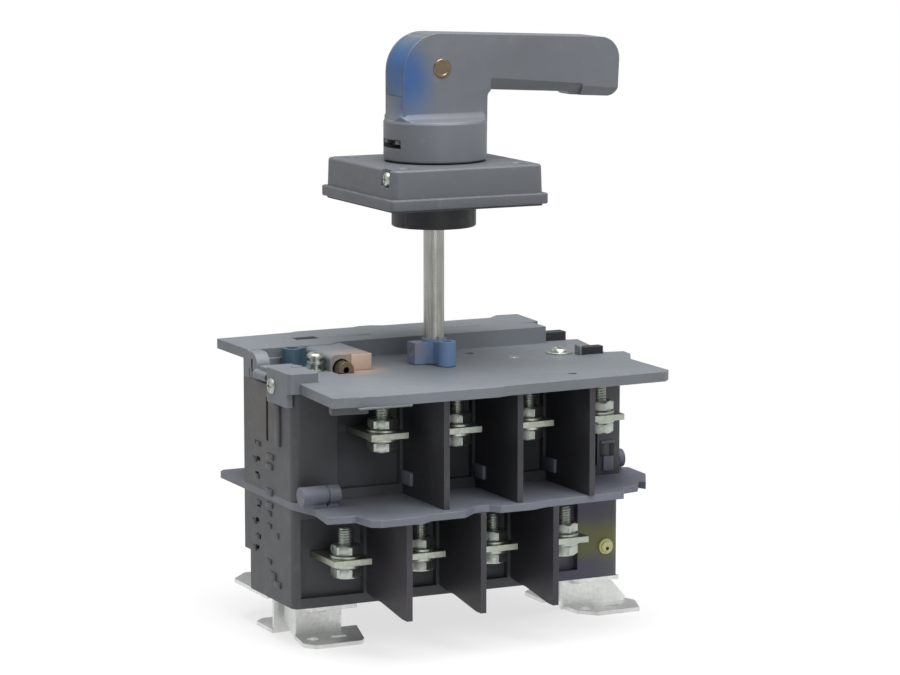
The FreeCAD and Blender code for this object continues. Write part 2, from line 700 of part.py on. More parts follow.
# Drive bars that join the crank pins of one deck
def drive_bar(deck, driver_x):
    name = deck.name + "_drive_bar"
    places = [TRANSFER_X] + [deck.pole(index) for index in range(POLES)]
    if driver_x is not None:
        places.append(driver_x)
    top = deck.drive + " + crank_thickness"
    start = TRANSFER_X
    end = deck.pole(POLES - 1)
    strip = [block(name + "_strip", (start, end), ("-crank_radius - crank_width / 2", "-crank_radius + crank_width / 2"),
                   (deck.drive, top))]
    for number, x in enumerate((start, end), start=1):
        strip.append(rod("%s_end_%d" % (name, number), "crank_width / 2", deck.drive, top, x, "-crank_radius"))
    holes = [rod("%s_hole_%d" % (name, number), "pin_radius + running_gap", deck.drive, top, x, "-crank_radius")
             for number, x in enumerate(places, start=1)]
    return node(name, cut(name + "_cut", join(name + "_blank", strip), holes))


drive_bar(LOWER, None)
drive_bar(UPPER, "axis_place")


# Shaft in the left half bay that takes the turn from the upper deck to the lower one
def transfer_shaft():
    low_crank = LOWER.over_drive
    high_crank = UPPER.crank
    pieces = [rod("transfer_rod", "journal_radius", low_crank, high_crank + " + crank_thickness", TRANSFER_X),
              rod("transfer_collar", "journal_radius + 2.5", UPPER.floor + " + float_gap",
                  UPPER.floor + " + float_gap + 3", TRANSFER_X)]
    for name, level in (("low", low_crank), ("high", high_crank)):
        top = level + " + crank_thickness"
        pieces.append(block("transfer_arm_" + name,
                            (TRANSFER_X + " - crank_width / 2", TRANSFER_X + " + crank_width / 2"),
                            ("-crank_radius", 0), (level, top)))
        pieces.append(rod("transfer_arm_end_" + name, "crank_width / 2", level, top, TRANSFER_X, "-crank_radius"))
    pieces.append(rod("transfer_pin_low", "pin_radius", LOWER.drive, low_crank, TRANSFER_X, "-crank_radius"))
    pieces.append(rod("transfer_pin_high", "pin_radius", high_crank, UPPER.drive + " + crank_thickness", TRANSFER_X,
                      "-crank_radius"))
    return node("transfer_shaft", join("transfer_shaft_whole", pieces))


transfer_shaft()


# Top cover: a front plate, a raised rear plate and the moulded lumps between them
def top_cover():
    front = "(%s + front_overhang)" % HALF_DEPTH
    rear = "(%s + rear_overhang)" % HALF_DEPTH
    front_plate = profile("cover_front_plate", "XY", [
        ("-" + HALF_WIDTH, "-" + front),
        ("-%s + 27" % HALF_WIDTH, "-%s - front_bulge" % front),
        ("-%s + 86" % HALF_WIDTH, "-%s - front_bulge - 1" % front),
        ("-%s + 93" % HALF_WIDTH, "-%s - front_bulge + 1" % front),
        (HALF_WIDTH, "-%s + 1" % front),
        (HALF_WIDTH + " + 4", "-%s + 5" % front),
        (HALF_WIDTH + " + 4", "-%s - 4" % HALF_DEPTH),
        (HALF_WIDTH + " + ear_reach", "-%s + 11" % HALF_DEPTH),
        (HALF_WIDTH + " + ear_reach + 1", "-%s + 20" % HALF_DEPTH),
        (HALF_WIDTH + " + 3", "-%s + 22" % HALF_DEPTH),
        (HALF_WIDTH + " + 8", HALF_DEPTH + " - 8"),
        (HALF_WIDTH + " + ear_reach - 1", "step_place + 6"),
        (HALF_WIDTH + " + 5", "step_place + 7"),
        (HALF_WIDTH + " + 5", "step_place + 13"),
        (HALF_WIDTH + " - 12", "step_place + 13"),
        (HALF_WIDTH + " - 12", "step_place + 7"),
        ("-" + HALF_WIDTH, "step_place + 1"),
        ("-%s + 3" % HALF_WIDTH, "-%s - 2" % HALF_DEPTH),
    ], UPPER_TOP, COVER_TOP)
    rear_plate = profile("cover_rear_plate", "XY", [
        ("-" + HALF_WIDTH, "step_place - 5"),
        ("-%s + 46" % HALF_WIDTH, "step_place - 5"),
        ("-%s + 53" % HALF_WIDTH, "step_place"),
        (HALF_WIDTH + " - 11", "step_place"),
        (HALF_WIDTH + " - 11", "step_place + 15"),
        (HALF_WIDTH + " - 17", "step_place + 16"),
        (HALF_WIDTH + " - 6", "step_place + 19"),
        (HALF_WIDTH + " - 4", rear + " + 8"),
        (HALF_WIDTH + " - 16", rear + " + 9"),
        (HALF_WIDTH + " - 23", rear + " + 2"),
        ("-%s + 96" % HALF_WIDTH, rear + " + 2"),
        ("-%s + 90" % HALF_WIDTH, rear + " + 5"),
        ("-%s + 83" % HALF_WIDTH, rear + " + 5"),
        ("-%s + 79" % HALF_WIDTH, rear + " + 3"),
        ("-%s + 46" % HALF_WIDTH, rear + " + 2"),
        ("-%s + 42" % HALF_WIDTH, rear),
        ("-" + HALF_WIDTH, rear + " - 3"),
    ], "%s - cover_thickness" % REAR_TOP, REAR_TOP)
    riser = block("cover_step", ("-%s + 46" % HALF_WIDTH, HALF_WIDTH + " - 11"), ("step_place", "step_place + 4"),
                  (UPPER_TOP, REAR_TOP))
    left_riser = block("cover_left_step", ("-" + HALF_WIDTH, "-%s + 46" % HALF_WIDTH),
                       (HALF_DEPTH + " - 3", "step_place + 1"), (UPPER_TOP, "%s - cover_thickness" % REAR_TOP))
    end_cap = block("cover_end_cap", ("-" + HALF_WIDTH, "-%s + 7" % HALF_WIDTH), ("step_place - 17", "step_place + 1"),
                    (COVER_TOP, "%s - 0.5" % REAR_TOP))
    end_cap = rounded("cover_end_cap_rounded", end_cap, "X", [("step_place - 17", "%s - 0.5" % REAR_TOP, "7")])
    lug = block("cover_lug", ("-%s - 3" % HALF_WIDTH, "-%s + 13" % HALF_WIDTH),
                ("-%s - 3" % HALF_DEPTH, "-%s + 25" % HALF_DEPTH), (UPPER_TOP, COVER_TOP + " + 5"))
    lug = rounded("cover_lug_rounded", lug, "Z",
                  [("-%s - 3" % HALF_WIDTH, "-%s - 3" % HALF_DEPTH, "3"),
                   ("-%s + 13" % HALF_WIDTH, "-%s - 3" % HALF_DEPTH, "1.5")])
    cheek = block("cover_cheek", ("-%s - 3" % HALF_WIDTH, "-" + HALF_WIDTH),
                  ("-%s" % HALF_DEPTH, "-%s + 25" % HALF_DEPTH), ("%s - 7" % UPPER_TOP, UPPER_TOP))
    pad = block("cover_pad", ("-" + HALF_WIDTH, "-%s + 17" % HALF_WIDTH), ("-%s + 24" % HALF_DEPTH, 12),
                (COVER_TOP, COVER_TOP + " + 3"))
    stub = rod("cover_stub", "2.4", 0.4, "step_place - 16", "-" + HALF_WIDTH, 0, COVER_TOP + " - 1.4", "Y")
    housing_box = block("cover_box", ("-%s + 31" % HALF_WIDTH, "-%s + 53.5" % HALF_WIDTH), (-5, "step_place + 1"),
                        (COVER_TOP, "%s - 0.5" % REAR_TOP))
    housing_box = rounded("cover_box_rounded", housing_box, "Y",
                          [("-%s + 31" % HALF_WIDTH, "%s - 0.5" % REAR_TOP, "3"),
                           ("-%s + 53.5" % HALF_WIDTH, "%s - 0.5" % REAR_TOP, "1.5")])
    body = join("cover_blank", [front_plate, rear_plate, riser, left_riser, end_cap, lug, cheek, pad, stub,
                                housing_box])
    tools = [
        rod("cover_shaft_hole", "bearing_radius + seat_gap", UPPER_TOP, COVER_TOP, "axis_place"),
        rod("cover_arch", "4.9", -13, "step_place - 22", "-%s + 37" % HALF_WIDTH, 0, COVER_TOP + " + 1.4", "Y"),
        rod("cover_front_hole", "2.4", UPPER_TOP, COVER_TOP, 46.5, -61),
        rod("cover_middle_hole", "2.8", UPPER_TOP, COVER_TOP, 29, 20),
        block("cover_window", (-56, -43), (46, 54), (COVER_TOP, REAR_TOP)),
        block("cover_end_slot", ("-" + HALF_WIDTH, "-%s + 1.5" % HALF_WIDTH), ("step_place - 11", "step_place - 8.5"),
              (COVER_TOP + " - 4", COVER_TOP + " + 5")),
        rod("cover_stub_bore", "1.2", 0.4, 4, "-%s - 0.6" % HALF_WIDTH, 0, COVER_TOP + " - 1.4", "Y"),
    ]
    return node("top_cover", cut("top_cover_cut", body, tools))


top_cover()


# Small pieces on the cover
POST_X = "(-%s + 21)" % HALF_WIDTH
node("guide_post", join("guide_post_whole", [
    tube("guide_post_tube", "5", "3", COVER_TOP, COVER_TOP + " + 9.5", POST_X, 20),
    block("guide_post_fin", (POST_X + " + 4.4", POST_X + " + 7"), (18, 22), (COVER_TOP, COVER_TOP + " + 9.5"))]))
STUB_X = "(-%s + 37)" % HALF_WIDTH
LEFT_SCREW_X = "(-%s + 26)" % HALF_WIDTH
node("auxiliary_stub", cut("auxiliary_stub_cut",
                           rod("stub_outside", "4.2", -11, "step_place - 22", STUB_X, 0, COVER_TOP + " + 1.4", "Y"),
                           [rod("stub_bore", "1.6", -11, "step_place - 26", STUB_X, 0, COVER_TOP + " + 1.4", "Y")]))
node("cover_latches", [
    block("rear_latch", (HALF_WIDTH + " - 8", HALF_WIDTH + " + 4"), ("step_place + 6", "step_place + 13"),
          (COVER_TOP, COVER_TOP + " + 4.6")),
    block("front_latch", (HALF_WIDTH + " - 12.6", HALF_WIDTH + " - 0.2"), (-11, -6), (COVER_TOP, COVER_TOP + " + 4"))])
node("cover_screws", [
    join("right_screw", [
        rod("right_screw_washer", "7", COVER_TOP, COVER_TOP + " + 0.9", HALF_WIDTH + " - 20"),
        rod("right_screw_head", "4.6", COVER_TOP, COVER_TOP + " + 3", HALF_WIDTH + " - 20")]),
    join("left_screw", [
        rod("left_screw_washer", "4.4", COVER_TOP, COVER_TOP + " + 1.2", LEFT_SCREW_X, 2),
        rod("left_screw_post", "2.5", COVER_TOP, COVER_TOP + " + 9.5", LEFT_SCREW_X, 2),
        rod("left_screw_head", "4.2", COVER_TOP + " + 6.5", COVER_TOP + " + 9.5", LEFT_SCREW_X, 2)]),
    rod("side_screw_head", "4", "-%s - 4.6" % HALF_WIDTH, "-%s - 3" % HALF_WIDTH, 0, -10.4, COVER_TOP + " - 3.6",
        "X")])
node("test_cap", join("test_cap_whole", [
    rod("test_cap_rim", "4", "-%s - 1.2" % HALF_DEPTH, "-" + HALF_DEPTH, HALF_WIDTH + " - 8", 0, LOWER_BOTTOM + " + 16",
        "Y"),
    rod("test_cap_dome", "2.8", "-%s - 2" % HALF_DEPTH, "-" + HALF_DEPTH, HALF_WIDTH + " - 8", 0, LOWER_BOTTOM + " + 16",
        "Y")]))


# Galvanised feet: a flange under the casing, a leg and a drilled tab on the mounting plane
def foot(name, side, sign, leg, tab, flange, extra=()):
    leg_bounds = sorted_bounds(sign, "foot_leg_place", "foot_leg_place + foot_plate")
    leg_sides = sorted_bounds(side, "foot_spacing / 2 + %d" % leg[0], "foot_spacing / 2 + %d" % leg[1])
    pieces = [
        block(name + "_leg", leg_sides, leg_bounds, (0, "foot_height")),
        profile(name + "_tab", "XY", beside(side, tab), 0, "foot_plate"),
        profile(name + "_flange", "XY", beside(side, flange), "foot_height - foot_plate", "foot_height")]
    hole_x = "%d * foot_spacing / 2" % side
    hole_y = "%d * foot_row_spacing / 2" % sign
    tools = [rod(name + "_hole", "foot_hole_radius", 0, "foot_plate", hole_x, hole_y),
             rod(name + "_screw_hole", "2.1", "foot_height - foot_plate", "foot_height",
                 "%d * foot_screw_spacing / 2" % side, "%d * foot_screw_rows / 2" % sign)]
    if sign < 0:
        slot_x = "(%s + %d)" % (hole_x, -14 * side if side < 0 else 15)
        tools.append(block(name + "_slot", (slot_x + " - 4", slot_x + " + 4"), (hole_y + " - 2", hole_y + " + 2"),
                           (0, "foot_plate")))
    return cut(name, join(name + "_blank", pieces + list(extra)), tools)


def beside(side, corners):
    """Corners of a foot's outline, with x counted outwards from its bolt hole."""
    return [("%d * (foot_spacing / 2 + %g)" % (side, x), y) for x, y in corners]


NEAR = "foot_leg_place"
FAR = "(foot_leg_place + foot_depth)"
left_flange = [(5, "-" + NEAR), (5, "-" + HALF_DEPTH), (-20, "-" + HALF_DEPTH), (-20, "-" + NEAR)]
right_flange = [(-9, "-" + NEAR), (-9, "-" + HALF_DEPTH), (14, "-" + HALF_DEPTH), (14, "-" + NEAR)]
rear_flange = [(13, NEAR), (13, 50), (3, 61), (-11, 61), (-16, 50), (-16, NEAR)]
left_tab = [(5, "-" + NEAR), (8, -27), (4, "-" + FAR), (-21, "-" + FAR), (-24, -29), (-32, -2), (-20, -2),
            (-20, "-" + NEAR)]
right_tab = [(-8, "-" + NEAR), (-6, -22), (2, "3 - " + FAR), (26, "3 - " + FAR), (32, -14), (30, "-" + NEAR)]
rear_tab = [(10, NEAR), (10, 28), (5, FAR), (-5, FAR), (-11, 28), (-11, NEAR)]
LEG_FRONT = "-(foot_leg_place + foot_plate)"
gusset = profile("front_left_gusset", "YZ",
                 [(LEG_FRONT, 0), (LEG_FRONT, "foot_height"), (4, "foot_height"), (4, 7)],
                 "-(foot_spacing / 2 + 5)", "-(foot_spacing / 2 + 5) + foot_plate")
flare = profile("front_right_flare", "XZ",
                beside(1, [(13, 0), (13, "foot_height"), (14, "foot_height"), (28, 4), (28, 0)]),
                LEG_FRONT, "-foot_leg_place")
node("mounting_feet", [
    foot("front_left_foot", -1, -1, (-20, 5), left_tab, left_flange, [gusset]),
    foot("front_right_foot", 1, -1, (-9, 14), right_tab, right_flange, [flare]),
    foot("rear_left_foot", -1, 1, (-10, 9), rear_tab, rear_flange),
    foot("rear_right_foot", 1, 1, (-10, 9), rear_tab, rear_flange)])
heads = foot_screw_rods("foot_screw_head", "3.6", "foot_height - foot_plate - 2.2", "foot_height - foot_plate")
shanks = foot_screw_rods("foot_screw_shank", "2", "foot_height - foot_plate - 2.2", "foot_height + 2.4")
node("foot_screws", [join("foot_screw_%d" % (number + 1), pair) for number, pair in enumerate(zip(heads, shanks))])


# Shaft with its bearing, crank, retaining ring and coupler
AXIS = "axis_place"
PLATE_TOP = "(door_plane + plate_flange + plate_height)"
BOSS_BOTTOM = "(%s + handle_gap)" % PLATE_TOP
BOSS_TOP = "(%s + handle_boss_height)" % BOSS_BOTTOM
SHAFT_BOTTOM = UPPER.over_drive
SHAFT_TOP = "(%s + shaft_engagement)" % BOSS_BOTTOM
node("shaft_bearing", cut("shaft_bearing_cut", join("shaft_bearing_blank", [
    rod("bearing_sleeve", "bearing_radius", UPPER_TOP, COVER_TOP, AXIS),
    rod("bearing_flange", "bearing_radius + 2", UPPER_TOP + " - 1", UPPER_TOP, AXIS)]),
    [rod("bearing_bore", "shaft_radius + running_gap", UPPER_TOP + " - 1", COVER_TOP, AXIS)]))
node("shaft", rod("shaft_rod", "shaft_radius", SHAFT_BOTTOM, SHAFT_TOP, AXIS))
crank_top = SHAFT_BOTTOM + " + crank_thickness"
node("main_crank", cut("main_crank_cut", join("main_crank_blank", [
    rod("main_crank_hub", "hub_radius", SHAFT_BOTTOM, crank_top, AXIS),
    rod("main_crank_end", "crank_width / 2", SHAFT_BOTTOM, crank_top, AXIS, "-crank_radius"),
    rod("main_crank_pin", "pin_radius", UPPER.drive, SHAFT_BOTTOM, AXIS, "-crank_radius")]),
    [rod("main_crank_bore", "shaft_radius", SHAFT_BOTTOM, crank_top, AXIS)]))
node("retaining_ring", tube("retaining_ring_tube", "bearing_radius", "shaft_radius", crank_top + " + 0.2",
                            crank_top + " + 1", AXIS))
COUPLER_BOTTOM = "(%s + float_gap)" % COVER_TOP
COUPLER_TOP = "(%s + coupler_height)" % COUPLER_BOTTOM
COUPLER_MIDDLE = "(%s + 6)" % COUPLER_BOTTOM
POST_SPOT = (AXIS + " + 0.9", -13)
CLAMP_FACE = AXIS + " - 12.5"
coupler_blank = join("coupler_blank", [
    rod("coupler_sleeve", "coupler_radius", COUPLER_BOTTOM, COUPLER_TOP, AXIS),
    rod("coupler_post", "4.6", COUPLER_BOTTOM, COUPLER_TOP, *POST_SPOT),
    block("coupler_web", (AXIS + " - 3", AXIS + " + 3.5"), (-13, 0), (COUPLER_BOTTOM, COUPLER_TOP + " - 1")),
    block("coupler_lobe", (CLAMP_FACE, AXIS), (-4, 5), (COUPLER_BOTTOM, COUPLER_TOP + " - 1.5"))])
node("coupler", cut("coupler_cut", coupler_blank, [
    rod("coupler_bore", "shaft_radius", COUPLER_BOTTOM, COUPLER_TOP, AXIS),
    rod("coupler_post_bore", "2.6", COUPLER_BOTTOM + " + 2", COUPLER_TOP, *POST_SPOT),
    rod("coupler_clamp_bore", "2", CLAMP_FACE, AXIS + " - shaft_radius", 0, 0, COUPLER_MIDDLE, "X")]))
node("coupler_screws", [
    rod("coupler_clamp_screw", "2", CLAMP_FACE + " + 0.4", AXIS + " - shaft_radius - 0.3", 0, 0, COUPLER_MIDDLE, "X"),
    rod("coupler_post_screw", "2.6", COUPLER_BOTTOM + " + 2", COUPLER_BOTTOM + " + 7", *POST_SPOT)])


# Cover plate on the door, with its collar, gasket and screws
def square_block(name, size, low, high, radius):
    item = block(name + "_block", ("%s - (%s) / 2" % (AXIS, size), "%s + (%s) / 2" % (AXIS, size)),
                 ("-(%s) / 2" % size, "(%s) / 2" % size), (low, high))
    corners = [("%s %s (%s) / 2" % (AXIS, across, size), "%s(%s) / 2" % (along, size), radius)
               for across in ("-", "+") for along in ("-", "")]
    return rounded(name, item, "Z", corners)


def plate_screws(name, radius, low, high):
    return [rod("%s_%d" % (name, number), radius, low, high, "%s + %s" % (AXIS, x), y)
            for number, (x, y) in enumerate(corners_of("plate_hole_spacing", "plate_hole_spacing"), start=1)]


FLANGE_TOP = "(door_plane + plate_flange)"
SCREW_SEAT = "(%s + 4)" % FLANGE_TOP
NICHE_X = "(%s - plate_base_size / 2)" % AXIS
plate = join("plate_blank", [square_block("plate_flange_block", "plate_size", "door_plane", FLANGE_TOP, "3"),
                             square_block("plate_box", "plate_base_size", FLANGE_TOP, PLATE_TOP, "5")])
plate = cut("plate_hollow", plate, [square_block("plate_inside", "plate_base_size - 2 * plate_wall", "door_plane",
                                                 PLATE_TOP + " - plate_wall", "3")])
plate = join("plate_bossed", [plate, rod("plate_hub", "neck_radius + 4", "door_plane", PLATE_TOP, AXIS),
                              block("plate_niche_wall", (NICHE_X + " + 1", NICHE_X + " + 6"), (-38, -24),
                                    (FLANGE_TOP, PLATE_TOP))]
             + plate_screws("plate_boss", "6", "door_plane", PLATE_TOP + " - 1"))
tools = [rod("plate_bore", "neck_radius + running_gap", "door_plane", PLATE_TOP, AXIS),
         block("plate_niche", (NICHE_X, NICHE_X + " + 2"), (-36, -26), (FLANGE_TOP + " + 5.5", PLATE_TOP)),
         rod("plate_side_hole", "2", NICHE_X + " + 2", NICHE_X + " + 6", 0, -31, FLANGE_TOP + " + 9.5", "X")]
tools += plate_screws("plate_screw_hole", "2.3", "door_plane", SCREW_SEAT)
tools += plate_screws("plate_screw_well", "plate_hole_radius", SCREW_SEAT, PLATE_TOP)
node("escutcheon", cut("escutcheon_cut", plate, tools))
node("escutcheon_collar", cut("escutcheon_collar_cut", rod("collar_ring", "collar_radius", "door_plane - collar_height",
                                                           "door_plane", AXIS),
                              [rod("collar_bore", "neck_radius + 1", "door_plane - collar_height", "door_plane",
                                   AXIS)]))
gasket_holes = plate_screws("gasket_hole", "2.3", "door_plane - gasket_thickness", "door_plane")
gasket_holes.append(rod("gasket_bore", "collar_radius + seat_gap", "door_plane - gasket_thickness", "door_plane", AXIS))
node("escutcheon_gasket", cut("escutcheon_gasket_cut",
                              square_block("gasket_sheet", "plate_size - 4", "door_plane - gasket_thickness",
                                           "door_plane", "3"), gasket_holes))
heads = plate_screws("plate_screw_head", "3.4", SCREW_SEAT, SCREW_SEAT + " + 2.6")
shanks = plate_screws("plate_screw_shank", "1.8", "door_plane - 3", SCREW_SEAT + " + 1")
threads = plate_screws("plate_screw_thread", "2.1", "door_plane - 12", "door_plane - gasket_thickness")
screws = [join("plate_screw_%d" % (number + 1), parts) for number, parts in enumerate(zip(heads, shanks, threads))]
screws.append(join("plate_side_screw", [
    rod("plate_side_head", "3.5", NICHE_X + " - 0.8", NICHE_X + " + 2", 0, -31, FLANGE_TOP + " + 9.5", "X"),
    rod("plate_side_shank", "2", NICHE_X + " + 1", NICHE_X + " + 6", 0, -31, FLANGE_TOP + " + 9.5", "X")]))
node("escutcheon_screws", screws)

# Handle
PIN_X = "(axis_place - lever_pin_side)"
PIN_Z = "(%s + lever_pin_rise)" % BOSS_TOP
LEFT = "axis_place - heel_reach"
RISER = "axis_place + riser_reach"
END = "axis_place + grip_reach"
GRIP_TOP = "%s + grip_top" % BOSS_TOP
END_TOP = GRIP_TOP + " - grip_droop"
END_BOTTOM = "%s + grip_end_underside" % BOSS_TOP
grip_corners = [
    (LEFT, BOSS_TOP + " - 2"),
    (LEFT, GRIP_TOP + " - 15"),
    (LEFT + " + 1.4", GRIP_TOP + " - 9.8"),
    (LEFT + " + 5.2", GRIP_TOP + " - 5.2"),
    (LEFT + " + 9.6", GRIP_TOP + " - 2"),
    (LEFT + " + 14.5", GRIP_TOP),
    (RISER + " + 6.7", GRIP_TOP + " - 2"),
    (END + " - 11", END_TOP),
    (END + " - 6.4", END_TOP + " - 1.7"),
    (END + " - 3.2", END_TOP + " - 5.5"),
    (END + " - 1", END_TOP + " - 9.5"),
    (END, END_TOP + " - 13.8"),
    (END + " - 0.4", END_BOTTOM + " + 6.2"),
    (END + " - 2.5", END_BOTTOM + " + 1.3"),
    (END + " - 5.6", END_BOTTOM),
    (END + " - 27.7", END_BOTTOM + " + 1.7"),
    (RISER + " + 3.1", "%s + grip_underside" % BOSS_TOP),
    (RISER + " + 0.8", "%s + grip_underside - 0.8" % BOSS_TOP),
    (RISER, "%s + grip_underside - 3.4" % BOSS_TOP),
    (RISER, BOSS_TOP + " - 2"),
]


def grip_body(label):
    return pad_body(label, "XZ", grip_corners, "-grip_thickness / 2", "grip_thickness / 2")


def wedge(name, reach, angle, low):
    """The space outside a radius about the pin: from an angle round to the heel, and down it to a level."""
    span = "grip_thickness / 2 + 1"
    fan = profile(name + "_fan", "XZ", [
        (PIN_X, PIN_Z), ("%s + 40 * cos(%s)" % (PIN_X, angle), "%s + 40 * sin(%s)" % (PIN_Z, angle)),
        (PIN_X + " - 40", PIN_Z + " + 40"), (PIN_X + " - 40", PIN_Z)], "-(%s)" % span, span)
    ring = cut(name + "_ring", fan, [rod(name + "_core", reach, "-(%s)" % span, span, PIN_X, 0, PIN_Z, "Y")])
    heel = block(name + "_heel", (PIN_X + " - 40", "%s - (%s)" % (PIN_X, reach)), ("-(%s)" % span, span), (low, PIN_Z))
    return join(name, [ring, heel])


HEEL_LOW = "(%s + lever_foot)" % BOSS_TOP
SLOT_LOW = "(%s + 6.5)" % BOSS_BOTTOM
SLOT_HIGH = "(%s + slide_thickness + 2 * float_gap)" % SLOT_LOW
TIP_X = "(%s - lever_tip_side)" % PIN_X
TIP_Z = "(%s - lever_tip_drop)" % PIN_Z
CAVITY_LOW = "(%s - lever_tip_radius - 0.5)" % TIP_Z
handle_blank = join("handle_blank", [
    grip_body("handle_grip"),
    rod("handle_boss", "handle_boss_radius", BOSS_BOTTOM, BOSS_TOP, AXIS),
    rod("handle_neck", "neck_radius", "door_plane - 2", BOSS_BOTTOM + " + 1", AXIS)])
under = BOSS_TOP + " + grip_underside"
recess_ends = ("axis_place + recess_start", "axis_place + recess_start + recess_length")
tools = [
    wedge("heel_room", "lever_arc - 0.2", 112, HEEL_LOW + " - float_gap"),
    block("lever_room", (PIN_X + " - 19.4", PIN_X + " + lever_hub_radius + float_gap"),
          ("-lever_web / 2 - float_gap", "lever_web / 2 + float_gap"), (CAVITY_LOW, PIN_Z + " + 10.8")),
    block("slide_room", (AXIS + " - 27", AXIS + " - 3"),
          ("-slide_width / 2 - float_gap", "slide_width / 2 + float_gap"), (SLOT_LOW, SLOT_HIGH)),
    rod("handle_shaft_bore", "shaft_radius", "door_plane - 2", SHAFT_TOP, AXIS),
    rod("handle_pin_bore", "lever_pin_radius", "-grip_thickness / 2", "grip_thickness / 2", PIN_X, 0, PIN_Z, "Y")]
for side, flip in (("front", "-"), ("rear", "")):
    outer = flip + "(grip_thickness / 2 + 1)"
    inner = flip + "(grip_thickness / 2 - recess_size)"
    tools.append(profile("grip_recess_" + side, "YZ", [
        (outer, under + " - 3"), (outer, under + " + recess_size - 0.5"),
        (flip + "(grip_thickness / 2)", under + " + recess_size - 0.5"), (inner, under + " - 1.5"),
        (inner, under + " - 3")], *recess_ends))
node("handle", cut("handle_cut", handle_blank, tools))
node("handle_pin", join("handle_pin_whole", [
    rod("handle_pin_rod", "lever_pin_radius", "-grip_thickness / 2", "grip_thickness / 2", PIN_X, 0, PIN_Z, "Y"),
    rod("handle_pin_front", "4.8", "-grip_thickness / 2 - 0.6", "-grip_thickness / 2", PIN_X, 0, PIN_Z, "Y"),
    rod("handle_pin_rear", "4.8", "grip_thickness / 2", "grip_thickness / 2 + 0.6", PIN_X, 0, PIN_Z, "Y")]))

# Padlock lever: the heel cap, its web with the hub on the pin, and the tail that drives the slide
WEB = ("-lever_web / 2", "lever_web / 2")
cap = common("lever_cap", grip_body("lever_outline"), wedge("lever_space", "lever_arc", 124.3, HEEL_LOW))
web = profile("lever_web_plate", "XZ", [
    (PIN_X, PIN_Z + " + 4.6"), (PIN_X + " - 18.4", PIN_Z + " + 3"), (PIN_X + " - 18.4", HEEL_LOW + " + 2"),
    (TIP_X + " - 3", TIP_Z + " + 8"), (TIP_X + " - lever_tip_radius", TIP_Z), (TIP_X + " + lever_tip_radius", TIP_Z),
    (PIN_X + " - 2", PIN_Z + " - 12"), (PIN_X, PIN_Z + " - 4.6")], *WEB)
hub = rod("lever_hub", "lever_hub_radius", *WEB, PIN_X, 0, PIN_Z, "Y")
tip = rod("lever_tip", "lever_tip_radius", *WEB, TIP_X, 0, TIP_Z, "Y")
node("padlock_lever", cut("padlock_lever_cut", join("lever_blank", [cap, web, hub, tip]), [
    rod("lever_bore", "lever_pin_radius + running_gap", *WEB, PIN_X, 0, PIN_Z, "Y")]))
slide_levels = (SLOT_LOW + " + float_gap", SLOT_LOW + " + float_gap + slide_thickness")
node("padlock_slide", cut("padlock_slide_cut", block("slide_plate", (AXIS + " - slide_reach", AXIS + " - 3.6"),
                                                     ("-slide_width / 2", "slide_width / 2"), slide_levels), [
    block("slide_notch", (TIP_X + " - lever_tip_radius - 0.3", TIP_X + " + lever_tip_radius + 0.3"),
          ("-lever_web / 2 - 0.4", "lever_web / 2 + 0.4"), slide_levels),
    rod("slide_padlock_hole", "padlock_hole_radius", *slide_levels, AXIS + " - slide_reach + 3.2")]))

# Recompute, check and write the sub-parts
doc.recompute()
for item in doc.Objects:
    if "Invalid" in item.State or "Error" in item.State:
        raise RuntimeError("%s is not valid: %s" % (item.Label, item.State))
labels = [item.Label for item in NODES]
if len(labels) != len(set(labels)):
    raise RuntimeError("two sub-parts share a label")
for item in NODES:
    if item.Shape.isNull() or not item.Shape.isValid():
        raise RuntimeError("%s has no valid shape" % item.Label)
os.makedirs("parts", exist_ok=True)
for item in NODES:
    item.Shape.exportStep("parts/%s.step" % item.Label)
    bounds = item.Shape.BoundBox
    print("%-24s solids %2d  x %.1f..%.1f  y %.1f..%.1f  z %.1f..%.1f" % (
        item.Label, len(item.Shape.Solids), bounds.XMin, bounds.XMax, bounds.YMin, bounds.YMax, bounds.ZMin,
        bounds.ZMax))
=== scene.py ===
import math

import bmesh
import bpy
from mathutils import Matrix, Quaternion, Vector


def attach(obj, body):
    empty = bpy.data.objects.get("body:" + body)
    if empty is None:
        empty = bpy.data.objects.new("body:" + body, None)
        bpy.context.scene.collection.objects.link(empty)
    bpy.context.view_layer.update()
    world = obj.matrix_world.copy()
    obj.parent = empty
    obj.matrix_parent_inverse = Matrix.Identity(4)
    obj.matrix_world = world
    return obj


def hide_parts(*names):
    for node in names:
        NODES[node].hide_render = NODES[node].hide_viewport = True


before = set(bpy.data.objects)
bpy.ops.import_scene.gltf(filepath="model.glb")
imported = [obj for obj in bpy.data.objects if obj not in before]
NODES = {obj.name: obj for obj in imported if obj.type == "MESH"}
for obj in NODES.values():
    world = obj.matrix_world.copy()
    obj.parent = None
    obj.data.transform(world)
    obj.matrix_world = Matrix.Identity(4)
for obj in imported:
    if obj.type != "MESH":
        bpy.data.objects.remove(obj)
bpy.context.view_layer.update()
MM = 0.001

# Camera at the photograph's angle
CAMERA_PLACE = Vector((-0.7523, -1.5650, 0.4101))
CAMERA_AIM = Vector((0.00857, 0.0, 0.14524))
FOCAL_PIXELS = 3472.35
PHOTO_WIDTH = 900
SENSOR = 36.0

camera_data = bpy.data.cameras.new("camera")
camera_data.sensor_width = SENSOR
camera_data.lens = FOCAL_PIXELS / PHOTO_WIDTH * SENSOR
camera = bpy.data.objects.new("camera", camera_data)
camera.location = CAMERA_PLACE
camera.rotation_mode = "QUATERNION"
camera.rotation_quaternion = (CAMERA_AIM - CAMERA_PLACE).to_track_quat("-Z", "Y")
bpy.context.scene.collection.objects.link(camera)
bpy.context.scene.camera = camera
bpy.context.scene.view_settings.view_transform = "Standard"


